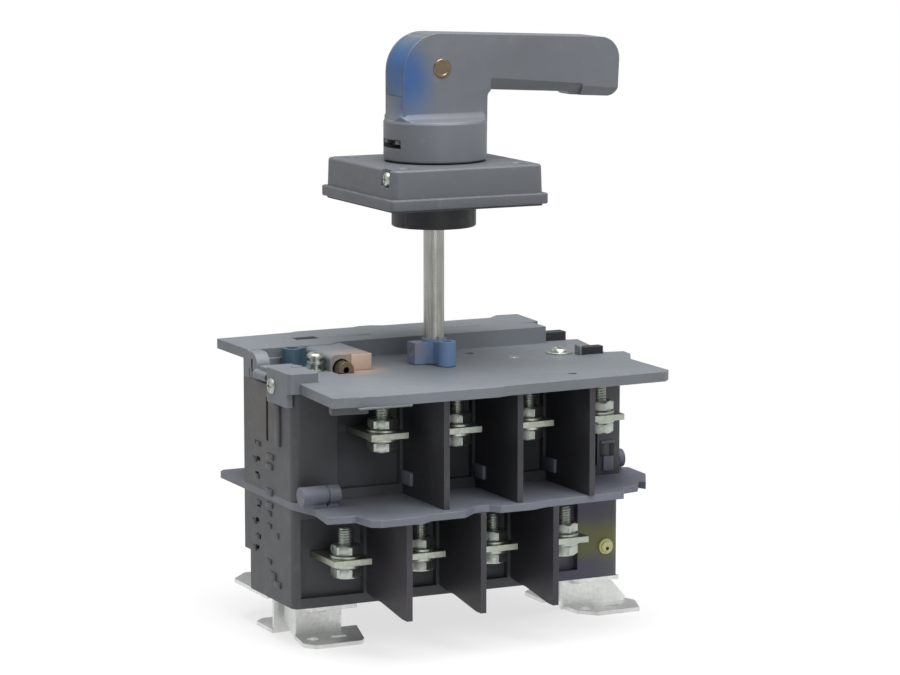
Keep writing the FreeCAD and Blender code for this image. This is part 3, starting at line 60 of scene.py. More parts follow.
# Colours and node helpers
def tone(red, green, blue):
    """A colour written as 0 to 255 display values, as the linear one that the shader takes."""
    linear = []
    for level in (red, green, blue):
        share = level / 255
        linear.append(share / 12.92 if share <= 0.04045 else ((share + 0.055) / 1.055) ** 2.4)
    return (*linear, 1.0)


def scaled(colour, factor):
    """A colour made darker or paler."""
    return tuple(min(1.0, factor * level) for level in colour[:3]) + (1.0,)


class Nodes:
    """A node tree, with short calls for the nodes that it needs."""

    def __init__(self, tree):
        self.tree = tree

    def node(self, kind, **settings):
        made = self.tree.nodes.new(kind)
        for key, setting in settings.items():
            setattr(made, key, setting)
        return made

    def link(self, source, target):
        """Link an output to an input, or set the input to a plain value."""
        if hasattr(source, "is_output"):
            self.tree.links.new(source, target)
        else:
            target.default_value = source

    def maths(self, operation, first, second):
        made = self.node("ShaderNodeMath", operation=operation)
        self.link(first, made.inputs[0])
        self.link(second, made.inputs[1])
        return made.outputs[0]

    def measure(self, operation, first, second):
        """A number out of two vectors."""
        made = self.node("ShaderNodeVectorMath", operation=operation)
        self.link(first, made.inputs[0])
        self.link(second, made.inputs[1])
        return made.outputs["Value"]

    def ramp(self, value, low, high, start=0.0, end=1.0, smooth=False):
        """A value's range turned into another one."""
        made = self.node("ShaderNodeMapRange")
        if smooth:
            made.interpolation_type = "SMOOTHSTEP"
        self.link(value, made.inputs["Value"])
        for key, number in (("From Min", low), ("From Max", high), ("To Min", start), ("To Max", end)):
            made.inputs[key].default_value = number
        return made.outputs["Result"]

    def mix(self, share, first, second):
        """Two colours mixed."""
        made = self.node("ShaderNodeMix", data_type="RGBA", blend_type="MIX")
        self.link(share, made.inputs["Factor"])
        self.link(first, made.inputs["A"])
        self.link(second, made.inputs["B"])
        return made.outputs["Result"]

    def blend(self, share, first, second):
        """Two shaders mixed."""
        made = self.node("ShaderNodeMixShader")
        for index, source in enumerate((share, first, second)):
            self.link(source, made.inputs[index])
        return made.outputs[0]


SPOT_CORE = 0.25


class Shading(Nodes):
    """One material's node tree."""

    def __init__(self, name):
        self.material = bpy.data.materials.new(name)
        self.material.use_nodes = True
        super().__init__(self.material.node_tree)
        self.shader = self.tree.nodes["Principled BSDF"]
        self.place = self.node("ShaderNodeTexCoord").outputs["Object"]

    def stretched(self, scale):
        """Object coordinates stretched along the axes."""
        mapping = self.node("ShaderNodeMapping")
        mapping.inputs["Scale"].default_value = scale
        self.link(self.place, mapping.inputs["Vector"])
        return mapping.outputs["Vector"]

    def noise(self, scale, detail=4.0, rough=0.55, vector=None):
        made = self.node("ShaderNodeTexNoise")
        made.inputs["Scale"].default_value = scale
        made.inputs["Detail"].default_value = detail
        made.inputs["Roughness"].default_value = rough
        self.link(vector or self.place, made.inputs["Vector"])
        return made.outputs["Fac"]

    def with_tints_and_painted_light(self, body, tints_and_painted_light):
        """A colour with soft spots of tint, painted shade or painted light, each of which fades out at its
        reach from a point of the object.
        """
        for centre, reach, strength, spot_colour in tints_and_painted_light:
            apart = self.measure("DISTANCE", self.place, centre)
            spot = self.ramp(apart, reach * SPOT_CORE, reach, strength, 0.0, smooth=True)
            body = self.mix(spot, body, spot_colour)
        return body

    def edges(self, radius):
        """Rounded-edge normals, and a mask that is one on the edges."""
        bevel = self.node("ShaderNodeBevel", samples=4)
        bevel.inputs["Radius"].default_value = radius
        flat = self.node("ShaderNodeNewGeometry").outputs["Normal"]
        facing = self.measure("DOT_PRODUCT", bevel.outputs["Normal"], flat)
        return bevel.outputs["Normal"], self.ramp(facing, 0.995, 0.85, 0.0, 1.0)

    def bump(self, height, strength, distance, normal):
        made = self.node("ShaderNodeBump")
        made.inputs["Strength"].default_value = strength
        made.inputs["Distance"].default_value = distance
        self.link(height, made.inputs["Height"])
        self.link(normal, made.inputs["Normal"])
        return made.outputs["Normal"]

    def finish(self, colour, rough, normal):
        self.link(colour, self.shader.inputs["Base Color"])
        self.link(rough, self.shader.inputs["Roughness"])
        self.link(normal, self.shader.inputs["Normal"])
        return self.material


DUST = tone(170, 172, 176)
# Pale edge colour: partly wear, partly a painted highlight along the edges
WORN_AND_HIGHLIT_EDGE = tone(196, 200, 206)
SPANGLE = tone(236, 240, 240)


def plastic(name, colour, tints_and_painted_light=(), rough=0.46, edge_wear_and_highlight=0.16):
    """Moulded plastic: spark-eroded grain, slow changes of tone, pale edges that are partly wear and partly
    painted highlight, and soft tints with spots of painted shade and light.
    """
    shading = Shading(name)
    slow = shading.noise(14.0, 3.0)
    fine = shading.noise(2600.0, 2.0, 0.7)
    dust = shading.noise(120.0, 6.0, 0.7)
    body = shading.mix(shading.ramp(slow, 0.3, 0.7), scaled(colour, 0.86), scaled(colour, 1.12))
    body = shading.mix(shading.ramp(dust, 0.56, 0.8, 0.0, 0.12), body, DUST)
    body = shading.with_tints_and_painted_light(body, tints_and_painted_light)
    normal, edge_mask = shading.edges(0.0005)
    # Pale edges: partly wear, partly a painted highlight along the edges
    scratch = shading.ramp(shading.noise(420.0, 5.0), 0.42, 0.62, 0.35, 1.0)
    rubbed_and_highlit = shading.maths("MULTIPLY", edge_mask, scratch)
    body = shading.mix(shading.ramp(rubbed_and_highlit, 0.0, 1.0, 0.0, edge_wear_and_highlight), body, WORN_AND_HIGHLIT_EDGE)
    roughness = shading.ramp(dust, 0.3, 0.75, rough - 0.07, rough + 0.1)
    return shading.finish(body, roughness, shading.bump(fine, 0.35, 0.00006, normal))


def metal(name, colour, rough=0.3, stretch=(1, 1, 1), scale=900.0, spangle=0.0, tints_and_painted_light=()):
    """Bare or plated metal: grain stretched along the rolling or turning marks, and optional zinc spangle."""
    shading = Shading(name)
    shading.shader.inputs["Metallic"].default_value = 1.0
    grain = shading.noise(scale, 4.0, 0.6, shading.stretched(stretch))
    slow = shading.noise(40.0, 4.0)
    body = shading.mix(shading.ramp(slow, 0.3, 0.7), scaled(colour, 0.72), colour)
    body = shading.mix(shading.ramp(grain, 0.35, 0.65, 0.0, 0.35), body, scaled(colour, 0.6))
    if spangle:
        cells = shading.node("ShaderNodeTexVoronoi")
        cells.inputs["Scale"].default_value = 330.0
        shading.link(shading.place, cells.inputs["Vector"])
        body = shading.mix(shading.ramp(cells.outputs["Color"], 0.0, 1.0, 0.0, spangle), body, SPANGLE)
    body = shading.with_tints_and_painted_light(body, tints_and_painted_light)
    normal = shading.edges(0.00035)[0]
    roughness = shading.ramp(grain, 0.3, 0.7, max(0.05, rough - 0.1), rough + 0.12)
    return shading.finish(body, roughness, shading.bump(grain, 0.12, 0.00001, normal))


# Materials; each spot, a tint or painted shade or painted light, is a place in metres, a reach, a strength
# and a colour
BLUE = tone(34, 84, 142)
GREEN = tone(112, 116, 62)
PURPLE = tone(72, 62, 104)

casing = plastic("casing_plastic", tone(80, 82, 85), [
    # painted shade in the left upper bay, under the cover
    ((-0.058, -0.014, 0.116), 0.044, 0.8, tone(22, 26, 32)),
    # painted light on the lower wall of that bay
    ((-0.064, -0.029, 0.078), 0.022, 0.5, tone(110, 112, 120)),
    ((-0.092, 0.010, 0.112), 0.030, 0.35, tone(96, 84, 72)),
    # painted shade deep in the upper bays
    ((0.025, -0.026, 0.100), 0.060, 0.6, tone(30, 36, 40)),
    # painted shade deep in the lower bays
    ((0.000, -0.026, 0.045), 0.060, 0.4, tone(40, 46, 48)),
    ((0.070, -0.030, 0.064), 0.026, 0.4, PURPLE),
    ((0.066, -0.030, 0.022), 0.022, 0.4, PURPLE),
    ((0.058, -0.030, 0.040), 0.014, 0.75, GREEN),
    ((0.071, -0.030, 0.040), 0.014, 0.75, GREEN),
    ((0.084, -0.030, 0.040), 0.014, 0.85, GREEN),
])
cover = plastic("cover_plastic", tone(114, 119, 125), [
    ((-0.044, -0.005, 0.137), 0.020, 0.7, tone(164, 142, 124)),
    ((-0.068, 0.016, 0.135), 0.016, 0.35, tone(70, 112, 128)),
], edge_wear_and_highlight=0.5)
shroud = plastic("shroud_plastic", tone(112, 116, 126), [
    ((0.08, -0.03, 0.0725), 0.05, 0.25, PURPLE),
    # painted light on the shroud's top, which lies in the cover's shade
    ((-0.02, -0.04, 0.0735), 0.05, 0.5, tone(138, 142, 152)),
], edge_wear_and_highlight=0.4)
barrier = plastic("barrier_plastic", tone(60, 60, 64), [
    ((-0.05, -0.06, 0.035), 0.05, 0.25, tone(84, 74, 82)),
    ((0.03, -0.06, 0.035), 0.05, 0.45, tone(40, 38, 50)),
    # painted shade on the upper barriers' tops, under the cover
    ((0.00, -0.06, 0.105), 0.04, 0.4, tone(36, 36, 40)),
], edge_wear_and_highlight=0.24)
# Dark plastic, also used for thin plates that paint the shade inside openings
dark_plastic_and_shade = plastic("dark_plastic_and_painted_shade", tone(34, 36, 40), rough=0.4)
plate = plastic("plate_plastic", tone(92, 96, 101), edge_wear_and_highlight=0.5)
collar_plastic = plastic("collar_plastic", tone(24, 26, 30))
grip = plastic("handle_plastic", tone(105, 109, 115), [
    ((-0.024, -0.011, 0.281), 0.022, 0.8, BLUE),
    ((-0.019, -0.011, 0.270), 0.019, 0.45, BLUE),
], rough=0.42, edge_wear_and_highlight=0.5)
lever_blue = plastic("lever_plastic", tone(58, 88, 124), [
    ((-0.022, 0.0, 0.282), 0.016, 0.9, BLUE),
    ((-0.010, 0.0, 0.300), 0.014, 0.7, tone(96, 104, 112)),
], rough=0.4)
slide_grey = plastic("slide_plastic", tone(110, 112, 114))
rotor_plastic = plastic("rotor_plastic", tone(120, 60, 48))
rubber = plastic("gasket_rubber", tone(78, 80, 84), rough=0.75)
beige = plastic("beige_plastic", tone(186, 164, 148))
cap_yellow = plastic("cap_plastic", tone(208, 208, 146), rough=0.25, edge_wear_and_highlight=0.05)
coupler_blue = plastic("coupler_metal", tone(98, 126, 162), [
    ((-0.013, -0.002, 0.14), 0.012, 0.8, tone(128, 128, 142)),
], rough=0.34)
post_teal = plastic("post_metal", tone(62, 88, 100), rough=0.4)

tinned = metal("tinned_copper", tone(210, 217, 202), 0.38, (1, 14, 1), 500.0,
               tints_and_painted_light=[((-0.07, -0.05, 0.047), 0.04, 0.2, tone(200, 206, 176))])
zinc = metal("zinc_plate", tone(208, 216, 206), 0.36, scale=500.0)
galvanised = metal("galvanised_steel", tone(248, 249, 247), 0.4, scale=500.0, spangle=0.22)
shaft_steel = metal("shaft_steel", tone(182, 182, 177), 0.3, (1, 1, 0.04), 1500.0)
crank_steel = metal("drive_steel", tone(150, 150, 152), 0.38, (0.1, 1, 1))
arc_steel = metal("arc_steel", tone(140, 140, 142), 0.42)
brass = metal("brass", tone(150, 134, 110), 0.34)
blade_copper = metal("blade_copper", tone(206, 140, 110), 0.3, (1, 12, 1), 500.0)

ROTOR_NAMES = []
BLADE_NAMES = []
for deck in ("upper", "lower"):
    for number in range(1, 5):
        ROTOR_NAMES.append("%s_rotor_%d" % (deck, number))
        BLADE_NAMES.append("%s_blades_%d" % (deck, number))

DRESS = {
    casing: ["lower_deck_housing", "upper_deck_housing", "lower_chamber_cover", "upper_chamber_cover"],
    cover: ["top_cover"],
    shroud: ["middle_shroud", "shroud_barrels"],
    barrier: ["lower_phase_barriers", "upper_phase_barriers"],
    dark_plastic_and_shade: ["cover_latches"],
    collar_plastic: ["shaft_bearing", "escutcheon_collar"],
    plate: ["escutcheon"],
    grip: ["handle"],
    lever_blue: ["padlock_lever"],
    slide_grey: ["padlock_slide"],
    rubber: ["escutcheon_gasket"],
    cap_yellow: ["test_cap"],
    tinned: ["lower_terminals", "upper_terminals"],
    zinc: ["terminal_bolts", "terminal_nuts", "terminal_washers", "foot_screws", "cover_screws",
           "escutcheon_screws", "coupler_screws", "retaining_ring"],
    galvanised: ["mounting_feet"],
    shaft_steel: ["shaft"],
    crank_steel: ["main_crank", "transfer_shaft", "upper_drive_bar", "lower_drive_bar"],
    arc_steel: ["lower_arc_plates", "upper_arc_plates"],
    coupler_blue: ["coupler"],
    post_teal: ["guide_post"],
    brass: ["auxiliary_stub", "handle_pin"],
    rotor_plastic: ROTOR_NAMES,
    blade_copper: BLADE_NAMES,
}


def dress(piece, material):
    piece.data.materials.clear()
    piece.data.materials.append(material)


for material, names in DRESS.items():
    for name in names:
        dress(NODES[name], material)


# Mesh helpers; all sizes in millimetres in the part's own frame
def new_object(name, builder, scale=MM):
    """The built mesh as an object of the scene."""
    mesh = bpy.data.meshes.new(name)
    builder.to_mesh(mesh)
    builder.free()
    for vertex in mesh.vertices:
        vertex.co *= scale
    made = bpy.data.objects.new(name, mesh)
    bpy.context.scene.collection.objects.link(made)
    return made


def round_corners(corners, steps=6):
    """A polygon whose corners (a, b, radius) are turned into arcs."""
    points = []
    count = len(corners)
    for index, (a, b, radius) in enumerate(corners):
        here = Vector((a, b))
        if radius <= 0:
            points.append(here)
            continue
        before = (Vector(corners[index - 1][:2]) - here).normalized()
        after = (Vector(corners[(index + 1) % count][:2]) - here).normalized()
        half = before.angle(after) / 2
        reach = radius / math.tan(half)
        centre = here + (before + after).normalized() * (radius / math.sin(half))
        start = here + before * reach - centre
        end = here + after * reach - centre
        turn = start.angle_signed(end)
        for step in range(steps + 1):
            angle = -turn * step / steps
            spun = Vector((start.x * math.cos(angle) - start.y * math.sin(angle),
                           start.x * math.sin(angle) + start.y * math.cos(angle)))
            points.append(centre + spun)
    return points


AXIS_ORDER = {"XY": (0, 1, 2), "XZ": (0, 2, 1), "YZ": (1, 2, 0)}


def solid_prism(name, points, plane, low, high):
    """A polygon pulled along the axis that its plane leaves out."""
    across, along, pull = AXIS_ORDER[plane]
    builder = bmesh.new()
    rings = []
    for level in (low, high):
        ring = []
        for point in points:
            spot = [0.0, 0.0, 0.0]
            spot[across] = point[0]
            spot[along] = point[1]
            spot[pull] = level
            ring.append(builder.verts.new(spot))
        rings.append(ring)
    count = len(points)
    builder.faces.new(rings[0])
    builder.faces.new(list(reversed(rings[1])))
    for index in range(count):
        following = (index + 1) % count
        builder.faces.new((rings[0][following], rings[0][index], rings[1][index], rings[1][following]))
    bmesh.ops.recalc_face_normals(builder, faces=builder.faces)
    return new_object(name, builder)


def solid_box(name, low, high):
    outline = [(low[0], low[1]), (high[0], low[1]), (high[0], high[1]), (low[0], high[1])]
    return solid_prism(name, outline, "XY", low[2], high[2])


TURN_TO = {
    "X": Quaternion((0, 1, 0), math.pi / 2),
    "Y": Quaternion((1, 0, 0), -math.pi / 2),
    "Z": Quaternion(),
}
ON_AXIS = 1e-6


def lathe(name, profile, centre=(0, 0, 0), axis="Z", segments=48, limit=None):
    """A profile of (radius, height) turned about an axis; limit trims the radius by angle."""
    builder = bmesh.new()
    rings = []
    for radius, height in profile:
        if radius <= ON_AXIS:
            spot = TURN_TO[axis] @ Vector((0, 0, height)) + Vector(centre)
            rings.append([builder.verts.new(spot)])
            continue
        ring = []
        for index in range(segments):
            angle = 2 * math.pi * index / segments
            reach = radius if limit is None else min(radius, limit(angle))
            spot = Vector((reach * math.cos(angle), reach * math.sin(angle), height))
            ring.append(builder.verts.new(TURN_TO[axis] @ spot + Vector(centre)))
        rings.append(ring)
    pairs = list(zip(rings, rings[1:]))
    if profile[0][0] > ON_AXIS:
        pairs.append((rings[-1], rings[0]))
    for first, second in pairs:
        for index in range(segments):
            following = (index + 1) % segments
            if len(first) == 1 and len(second) == 1:
                break
            if len(first) == 1:
                builder.faces.new((first[0], second[index], second[following]))
            elif len(second) == 1:
                builder.faces.new((first[index], second[0], first[following]))
            else:
                builder.faces.new((first[index], second[index], second[following], first[following]))
    bmesh.ops.recalc_face_normals(builder, faces=builder.faces)
    return new_object(name, builder)


def drum(name, radius, low, high, centre=(0, 0, 0), axis="Z", segments=48):
    """A plain cylinder."""
    return lathe(name, [(0, low), (radius, low), (radius, high), (0, high)], centre, axis, segments)


def lofted(name, builder, rings):
    """A solid through rings of the same number of corners, closed at either end."""
    builder.faces.new(rings[0])
    builder.faces.new(rings[-1])
    for lower_ring, upper_ring in zip(rings, rings[1:]):
        for index in range(len(lower_ring)):
            following = (index + 1) % len(lower_ring)
            builder.faces.new((lower_ring[index], lower_ring[following],
                               upper_ring[following], upper_ring[index]))
    bmesh.ops.recalc_face_normals(builder, faces=builder.faces)
    return new_object(name, builder)


def applied(piece):
    """The piece with its modifiers made part of its mesh."""
    graph = bpy.context.evaluated_depsgraph_get()
    mesh = bpy.data.meshes.new_from_object(piece.evaluated_get(graph))
    piece.modifiers.clear()
    piece.data = mesh
    return piece


BEVEL_ANGLE = math.radians(32)


def bevelled(piece, width, segments=3):
    """The piece with its edges rounded, where they turn by more than the angle."""
    bevel = piece.modifiers.new("bevel", "BEVEL")
    bevel.width = width * MM
    bevel.segments = segments
    bevel.limit_method = "ANGLE"
    bevel.angle_limit = BEVEL_ANGLE
    return applied(piece)


def combine(piece, operation, *tools):
    """Boolean with each tool in turn; the tools are used up."""
    for tool in tools:
        step = piece.modifiers.new("combine", "BOOLEAN")
        step.operation = operation
        step.solver = "EXACT"
        step.object = tool
        applied(piece)
        bpy.data.objects.remove(tool)
    return piece


def joined(name, pieces):
    """Several meshes as one object."""
    builder = bmesh.new()
    for piece in pieces:
        builder.from_mesh(piece.data)
        bpy.data.objects.remove(piece)
    return new_object(name, builder, 1.0)


def settle(piece, material, body="casing", replaces=(), smooth=30):
    """Give a piece its material, smooth shading up to an angle in degrees and body, and hide the parts that
    it replaces.
    """
    dress(piece, material)
    piece.data.shade_smooth()
    piece.data.set_sharp_from_angle(angle=math.radians(smooth))
    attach(piece, body)
    if replaces:
        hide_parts(*replaces)


AXIS_X = -0.5
SHAFT_AXIS = (AXIS_X, 0, 0)

# Handle: grip and heel in one smooth outline, a round boss with a flared foot, cheeks beside the lever
PIN_X = -1.1
PIN_Z = 282.7
PIN_AXIS = (PIN_X, 0, PIN_Z)
GRIP_HALF = 11
GRIP_OUTLINE = [
    (-22, 250, 0), (-22, 301.0, 19.5), (99.6, 295.4, 11), (98.2, 265.2, 5), (92, 265.6, 0),
    (73.5, 266.7, 1.2), (71.5, 268.4, 1.2), (27, 270.9, 0), (24.2, 271.1, 3.2), (23.9, 250, 0),
]
CHEEK = 9.6
CHEEK_GAP = 0.2
BOSS_AXIS = (0.3, 0, 0)
BOSS_PROFILE = [(0, 236.5), (25.3, 236.5), (26, 237.2), (26, 255.6), (25.4, 256.7), (24.2, 257), (0, 257)]
NECK_PROFILE = [(0, 214.2), (9.6, 214.2), (10, 214.6), (10, 237.5), (0, 237.5)]


def grip_form(name):
    outline = round_corners(GRIP_OUTLINE, 10)
    return bevelled(solid_prism(name, outline, "XZ", -GRIP_HALF, GRIP_HALF), 2.1, 5)


def fan(name, reach, angle, low, half):
    """The space between the cheeks outside a radius about the pin, from an angle round to the heel."""
    far = 40
    turn = math.radians(angle)
    corners = [(PIN_X, PIN_Z), (PIN_X + far * math.cos(turn), PIN_Z + far * math.sin(turn)),
               (PIN_X - far, PIN_Z + far), (PIN_X - far, PIN_Z)]
    wedge = solid_prism(name, corners, "XZ", -half, half)
    combine(wedge, "DIFFERENCE", drum(name + "_core", reach, -half - 1, half + 1, PIN_AXIS, "Y", 96))
    heel = solid_box(name + "_heel", (PIN_X - far, -half, low), (PIN_X - reach, half, PIN_Z + 0.01))
    return combine(wedge, "UNION", heel)


# The flare widens the heel and the grip's sides smoothly down to the boss
FLARE_BASE = 257
FLARE_LEVELS = (256, 257, 257.3, 257.7, 258.3, 259.1, 260.2, 262.2, 264.5, 268.4)
FLARE_FRONT = 23.2
FLARE_SPREAD = 3.8
HEEL_X = -22
HEEL_SPREAD = 2.6
HEEL_RISE = 11.4
FACE_RISE = 5.2


def flare_form(name):
    builder = bmesh.new()
    rings = []
    for level in FLARE_LEVELS:
        rise = max(0.0, level - FLARE_BASE)
        heel_spread = HEEL_SPREAD * max(0.0, 1 - rise / HEEL_RISE) ** 2.5
        fall = max(0.0, 1 - rise / FACE_RISE)
        side = GRIP_HALF + FLARE_SPREAD * (1 - math.sqrt(1 - fall ** 2)) - 0.4 * (1 - fall)
        heel = HEEL_X - heel_spread
        outline = round_corners([(heel, -side, 4), (FLARE_FRONT, -side, 2), (FLARE_FRONT, side, 2),
                                 (heel, side, 4)], 6)
        rings.append([builder.verts.new((x, y, level)) for x, y in outline])
    return combine(lofted(name, builder, rings), "INTERSECT",
                   drum("flare_limit", 25.4, 250, 270, BOSS_AXIS, segments=128))


handle = grip_form("handle_shell")
combine(handle, "UNION",
        lathe("boss", BOSS_PROFILE, BOSS_AXIS, segments=128),
        flare_form("flare"),
        lathe("neck", NECK_PROFILE, SHAFT_AXIS, segments=64))

# Finger recess on either side and the chamfer before it, both along the grip's sloping underside
UNDERSIDE_SLOPE = 0.085
UNDERSIDE_START = 0.0245
for side in (-1, 1):
    slope = [(side * 12.6, 258), (side * 12.6, 278.9), (side * 4.4, 270.4), (side * 4.4, 258)]
    recess = bevelled(solid_prism("recess", slope, "YZ", 25.9, 78.3), 1.0, 3)
    slope = [(side * 13, 252), (side * 13, 279.4), (side * 4.4, 264.6), (side * 4.4, 252)]
    chamfer = solid_prism("chamfer", slope, "YZ", 77, 104)
    for cutter in (recess, chamfer):
        for vertex in cutter.data.vertices:
            vertex.co.z -= UNDERSIDE_SLOPE * (vertex.co.x - UNDERSIDE_START)
        combine(handle, "DIFFERENCE", cutter)
combine(handle, "DIFFERENCE",
        fan("heel_room", 17.8, 112, 268.8, CHEEK),
        solid_box("lever_room", (PIN_X - 19.4, -4.3, 241.8), (PIN_X + 5.3, 4.3, 293.5)),
        bevelled(solid_box("slide_room", (-27.5, -10.2, 243), (-3.5, 10.2, 247.5)), 0.5, 2),
        drum("shaft_room", 5.3, 210, 240, SHAFT_AXIS),
        drum("pin_room", 3, -12, 12, PIN_AXIS, "Y", 40))
settle(handle, grip, "handle_and_shaft", ["handle"], 28)

# Lever: the heel's skin between the cheeks, with a web down to the block that it slides
LEVER_HALF = 4
TIP_AXIS = (-9.1, 0, 245.5)
WEB_OUTLINE = [
    (PIN_X, 287.3), (PIN_X - 18.4, 285.7), (PIN_X - 18.4, 272), (PIN_X - 17.6, 269.2), (-12.1, 253.5),
    (-12.3, 245.5), (-5.9, 245.5), (PIN_X - 2, 270.7), (PIN_X, 278.1),
]
lever = grip_form("lever_shell")
combine(lever, "INTERSECT", fan("lever_space", 18, 124.3, 269, CHEEK - CHEEK_GAP))
combine(lever, "UNION",
        solid_prism("web", WEB_OUTLINE, "XZ", -LEVER_HALF, LEVER_HALF),
        drum("hub", 5, -LEVER_HALF, LEVER_HALF, PIN_AXIS, "Y"),
        drum("tip", 3.2, -LEVER_HALF, LEVER_HALF, TIP_AXIS, "Y", 32))
combine(lever, "DIFFERENCE", drum("lever_bore", 3.05, -5, 5, PIN_AXIS, "Y", 40))
settle(lever, lever_blue, "padlock_lever", ["padlock_lever"], 28)

# Sliding block in the boss: a grey bar with a dark pocket between its stepped ends
block = bevelled(solid_box("slide_block", (-23.9, -8.5, 243.4), (-4.3, 8.5, 247.2)), 0.3, 2)
combine(block, "DIFFERENCE",
        solid_box("pocket", (-30, -4.4, 240), (-5.6, 4.4, 250)),
        solid_box("step", (-30, -12, 240), (-19.5, -3, 245.2)),
        solid_box("step", (-30, 3, 240), (-19.5, 12, 245.2)))
settle(block, slide_grey, "padlock_slide", ["padlock_slide"])

# Handle pin: flat brass rivet heads with a raised rim
RIVET_HALF = [(3, 11), (4.8, 11), (4.8, 11.3), (4.4, 11.6), (3.5, 11.6), (3.1, 11.3), (0, 11.3)]
rivet_profile = [(radius, -height) for radius, height in reversed(RIVET_HALF)] + RIVET_HALF
settle(lathe("rivet", rivet_profile, PIN_AXIS, "Y"), brass, "handle_and_shaft", ["handle_pin"])


# Small moulded details on the casing and the cover
def block_piece(name, low, high, edge=0.3):
    return bevelled(solid_box(name, low, high), edge, 2)


# Left wall: louvres as (y, z), then steps as (y, z, width, rise)
LOUVRES = [(14.3, 96.3), (19.2, 87.7), (16.1, 79.6), (14.3, 66.4), (20.3, 55.8), (15.7, 48.6), (20.2, 42.1),
           (0.5, 63.1), (0.7, 56.8), (1.0, 38.6)]
STEPS = [(-0.4, 92, 9, 3), (0.4, 87, 8, 3), (0.3, 74, 8, 3.4), (0.6, 67.5, 8, 2.6), (-9.5, 28.8, 7, 3),
         (-3.5, 32, 7, 4)]
LEFT_WALL = -90.6
# The louvres are thin dark plates on the wall: painted shade standing in for their openings
louvres = []
for y, z in LOUVRES:
    louvres.append(block_piece("louvre", (-91.5, y - 2.6, z - 1.3), (LEFT_WALL, y + 2.6, z + 1.3), 0.35))
louvres.append(block_piece("louvre", (-91.4, -11, 52), (LEFT_WALL, -8.6, 55)))
settle(joined("side_louvres", louvres), dark_plastic_and_shade)

steps = []
for y, z, width, rise in STEPS:
    steps.append(block_piece("step", (-91.9, y - width / 2, z - rise / 2),
                             (LEFT_WALL, y + width / 2, z + rise / 2), 0.4))
steps.append(block_piece("step", (-92.2, -14, 99), (LEFT_WALL, -8, 120), 0.6))
settle(joined("side_steps", steps), casing)

# Front wall: tabs beside the barriers, the latch at the right end and its slots, drawn as thin dark plates of
# painted shade
FRONT_WALL = -29.2
tabs = []
for x in (-31.5, 8.5, 48.5):
    tabs.append(block_piece("tab", (x - 1.6, -41, 79), (x + 0.2, -30, 86), 0.5))
tabs.append(block_piece("tongue", (80.6, -31.0, 75.5), (86.6, FRONT_WALL, 83.2), 0.6))
tabs.append(block_piece("strip", (79.8, -30.1, 104), (81.2, FRONT_WALL, 118)))
tabs.append(block_piece("arch", (79.4, -30.3, 89.6), (87.6, FRONT_WALL, 91.2), 0.4))
settle(joined("wall_tabs", tabs), shroud)

# Thin dark plates paint the shade inside the latch's slots
slots = []
for low_x, high_x in ((79.3, 81.7), (85.0, 87.7)):
    slots.append(block_piece("slot", (low_x, -29.8, 83.0), (high_x, FRONT_WALL, 89.6), 0.2))
cap_mark = [(0, -31.2), (0.9, -31.15), (1.1, -30.6), (0, -30.6)]
slots.append(lathe("cap_mark", cap_mark, (83.3, 0, 35.0), "Y", 20))
settle(joined("wall_slots", slots), dark_plastic_and_shade)

# Cover: lip at the front left corner, wall panels at the right end, beige face, a pale strip as a painted
# highlight under the front edge, marks and a rivet
# The lip takes the darker casing colour as painted shade under the cover's edge; the wall panels are casing
lip_outline = round_corners([(-88, -66, 0), (-90.5, -74.5, 2), (-72, -76.5, 0), (-72, -66, 0)], 4)
settle(joined("corner_lip", [
    solid_prism("lip", lip_outline, "XY", 124.2, 128.2),
    block_piece("panel_low", (77.8, -29.4, 73.6), (90.9, -28.4, 103.0)),
    block_piece("panel_high", (80.4, -29.4, 102.6), (90.9, -28.4, 127.8)),
]), casing)
settle(joined("box_face", [block_piece("face", (-48.8, -5.5, 133.1), (-37.7, -4.9, 141.2), 0.2)]), beige)
# A pale strip under the cover's front edge: a painted highlight
settle(block_piece("painted_highlight_strip", (-79, -81.8, 127.0), (-51, -79.5, 128.0), 0.2), slide_grey)
settle(joined("cover_lips", [
    block_piece("rear_mark", (-30, 47, 141.8), (-14, 53, 142.25), 0.2),
    block_piece("rear_mark", (25, 50, 141.8), (52, 62, 142.25), 0.2),
    block_piece("cover_rib", (77.0, -11.5, 132.8), (78.3, -5.5, 138.0), 0.5),
    block_piece("lug_mark", (-83.5, -12, 137.9), (-78, -9.5, 138.5), 0.25),
]), cover)
rivet_outline = [(0, 133.5), (2.2, 133.4), (3.0, 133.0), (0, 133.0)]
settle(lathe("cover_rivet", rivet_outline, (43.7, -2, 0), segments=32), zinc)


# Hexagon hardware with chamfered corners and threads
def hexagon_reach(flats):
    """The distance from the axis to a hexagon's side, by angle."""
    def reach(angle):
        inside = (angle + math.pi / 6) % (math.pi / 3) - math.pi / 6
        return flats / 2 / math.cos(inside)
    return reach


def hex_piece(name, flats, low, high, place, bore=0.0, chamfer=0.7):
    corner = flats / math.sqrt(3)
    rim = flats / 2 * 0.97
    profile = [(rim, low), (corner, low + chamfer), (corner, high - chamfer), (rim, high)]
    if bore:
        profile += [(bore + 0.5, high), (bore, high - 0.5), (bore, low + 0.5), (bore + 0.5, low)]
    else:
        profile = [(0, low)] + profile + [(0, high)]
    return lathe(name, profile, (*place, 0), limit=hexagon_reach(flats))


THREAD_DEPTH = 0.62
THREAD_ROWS = 6
END_TAPER = 0.72


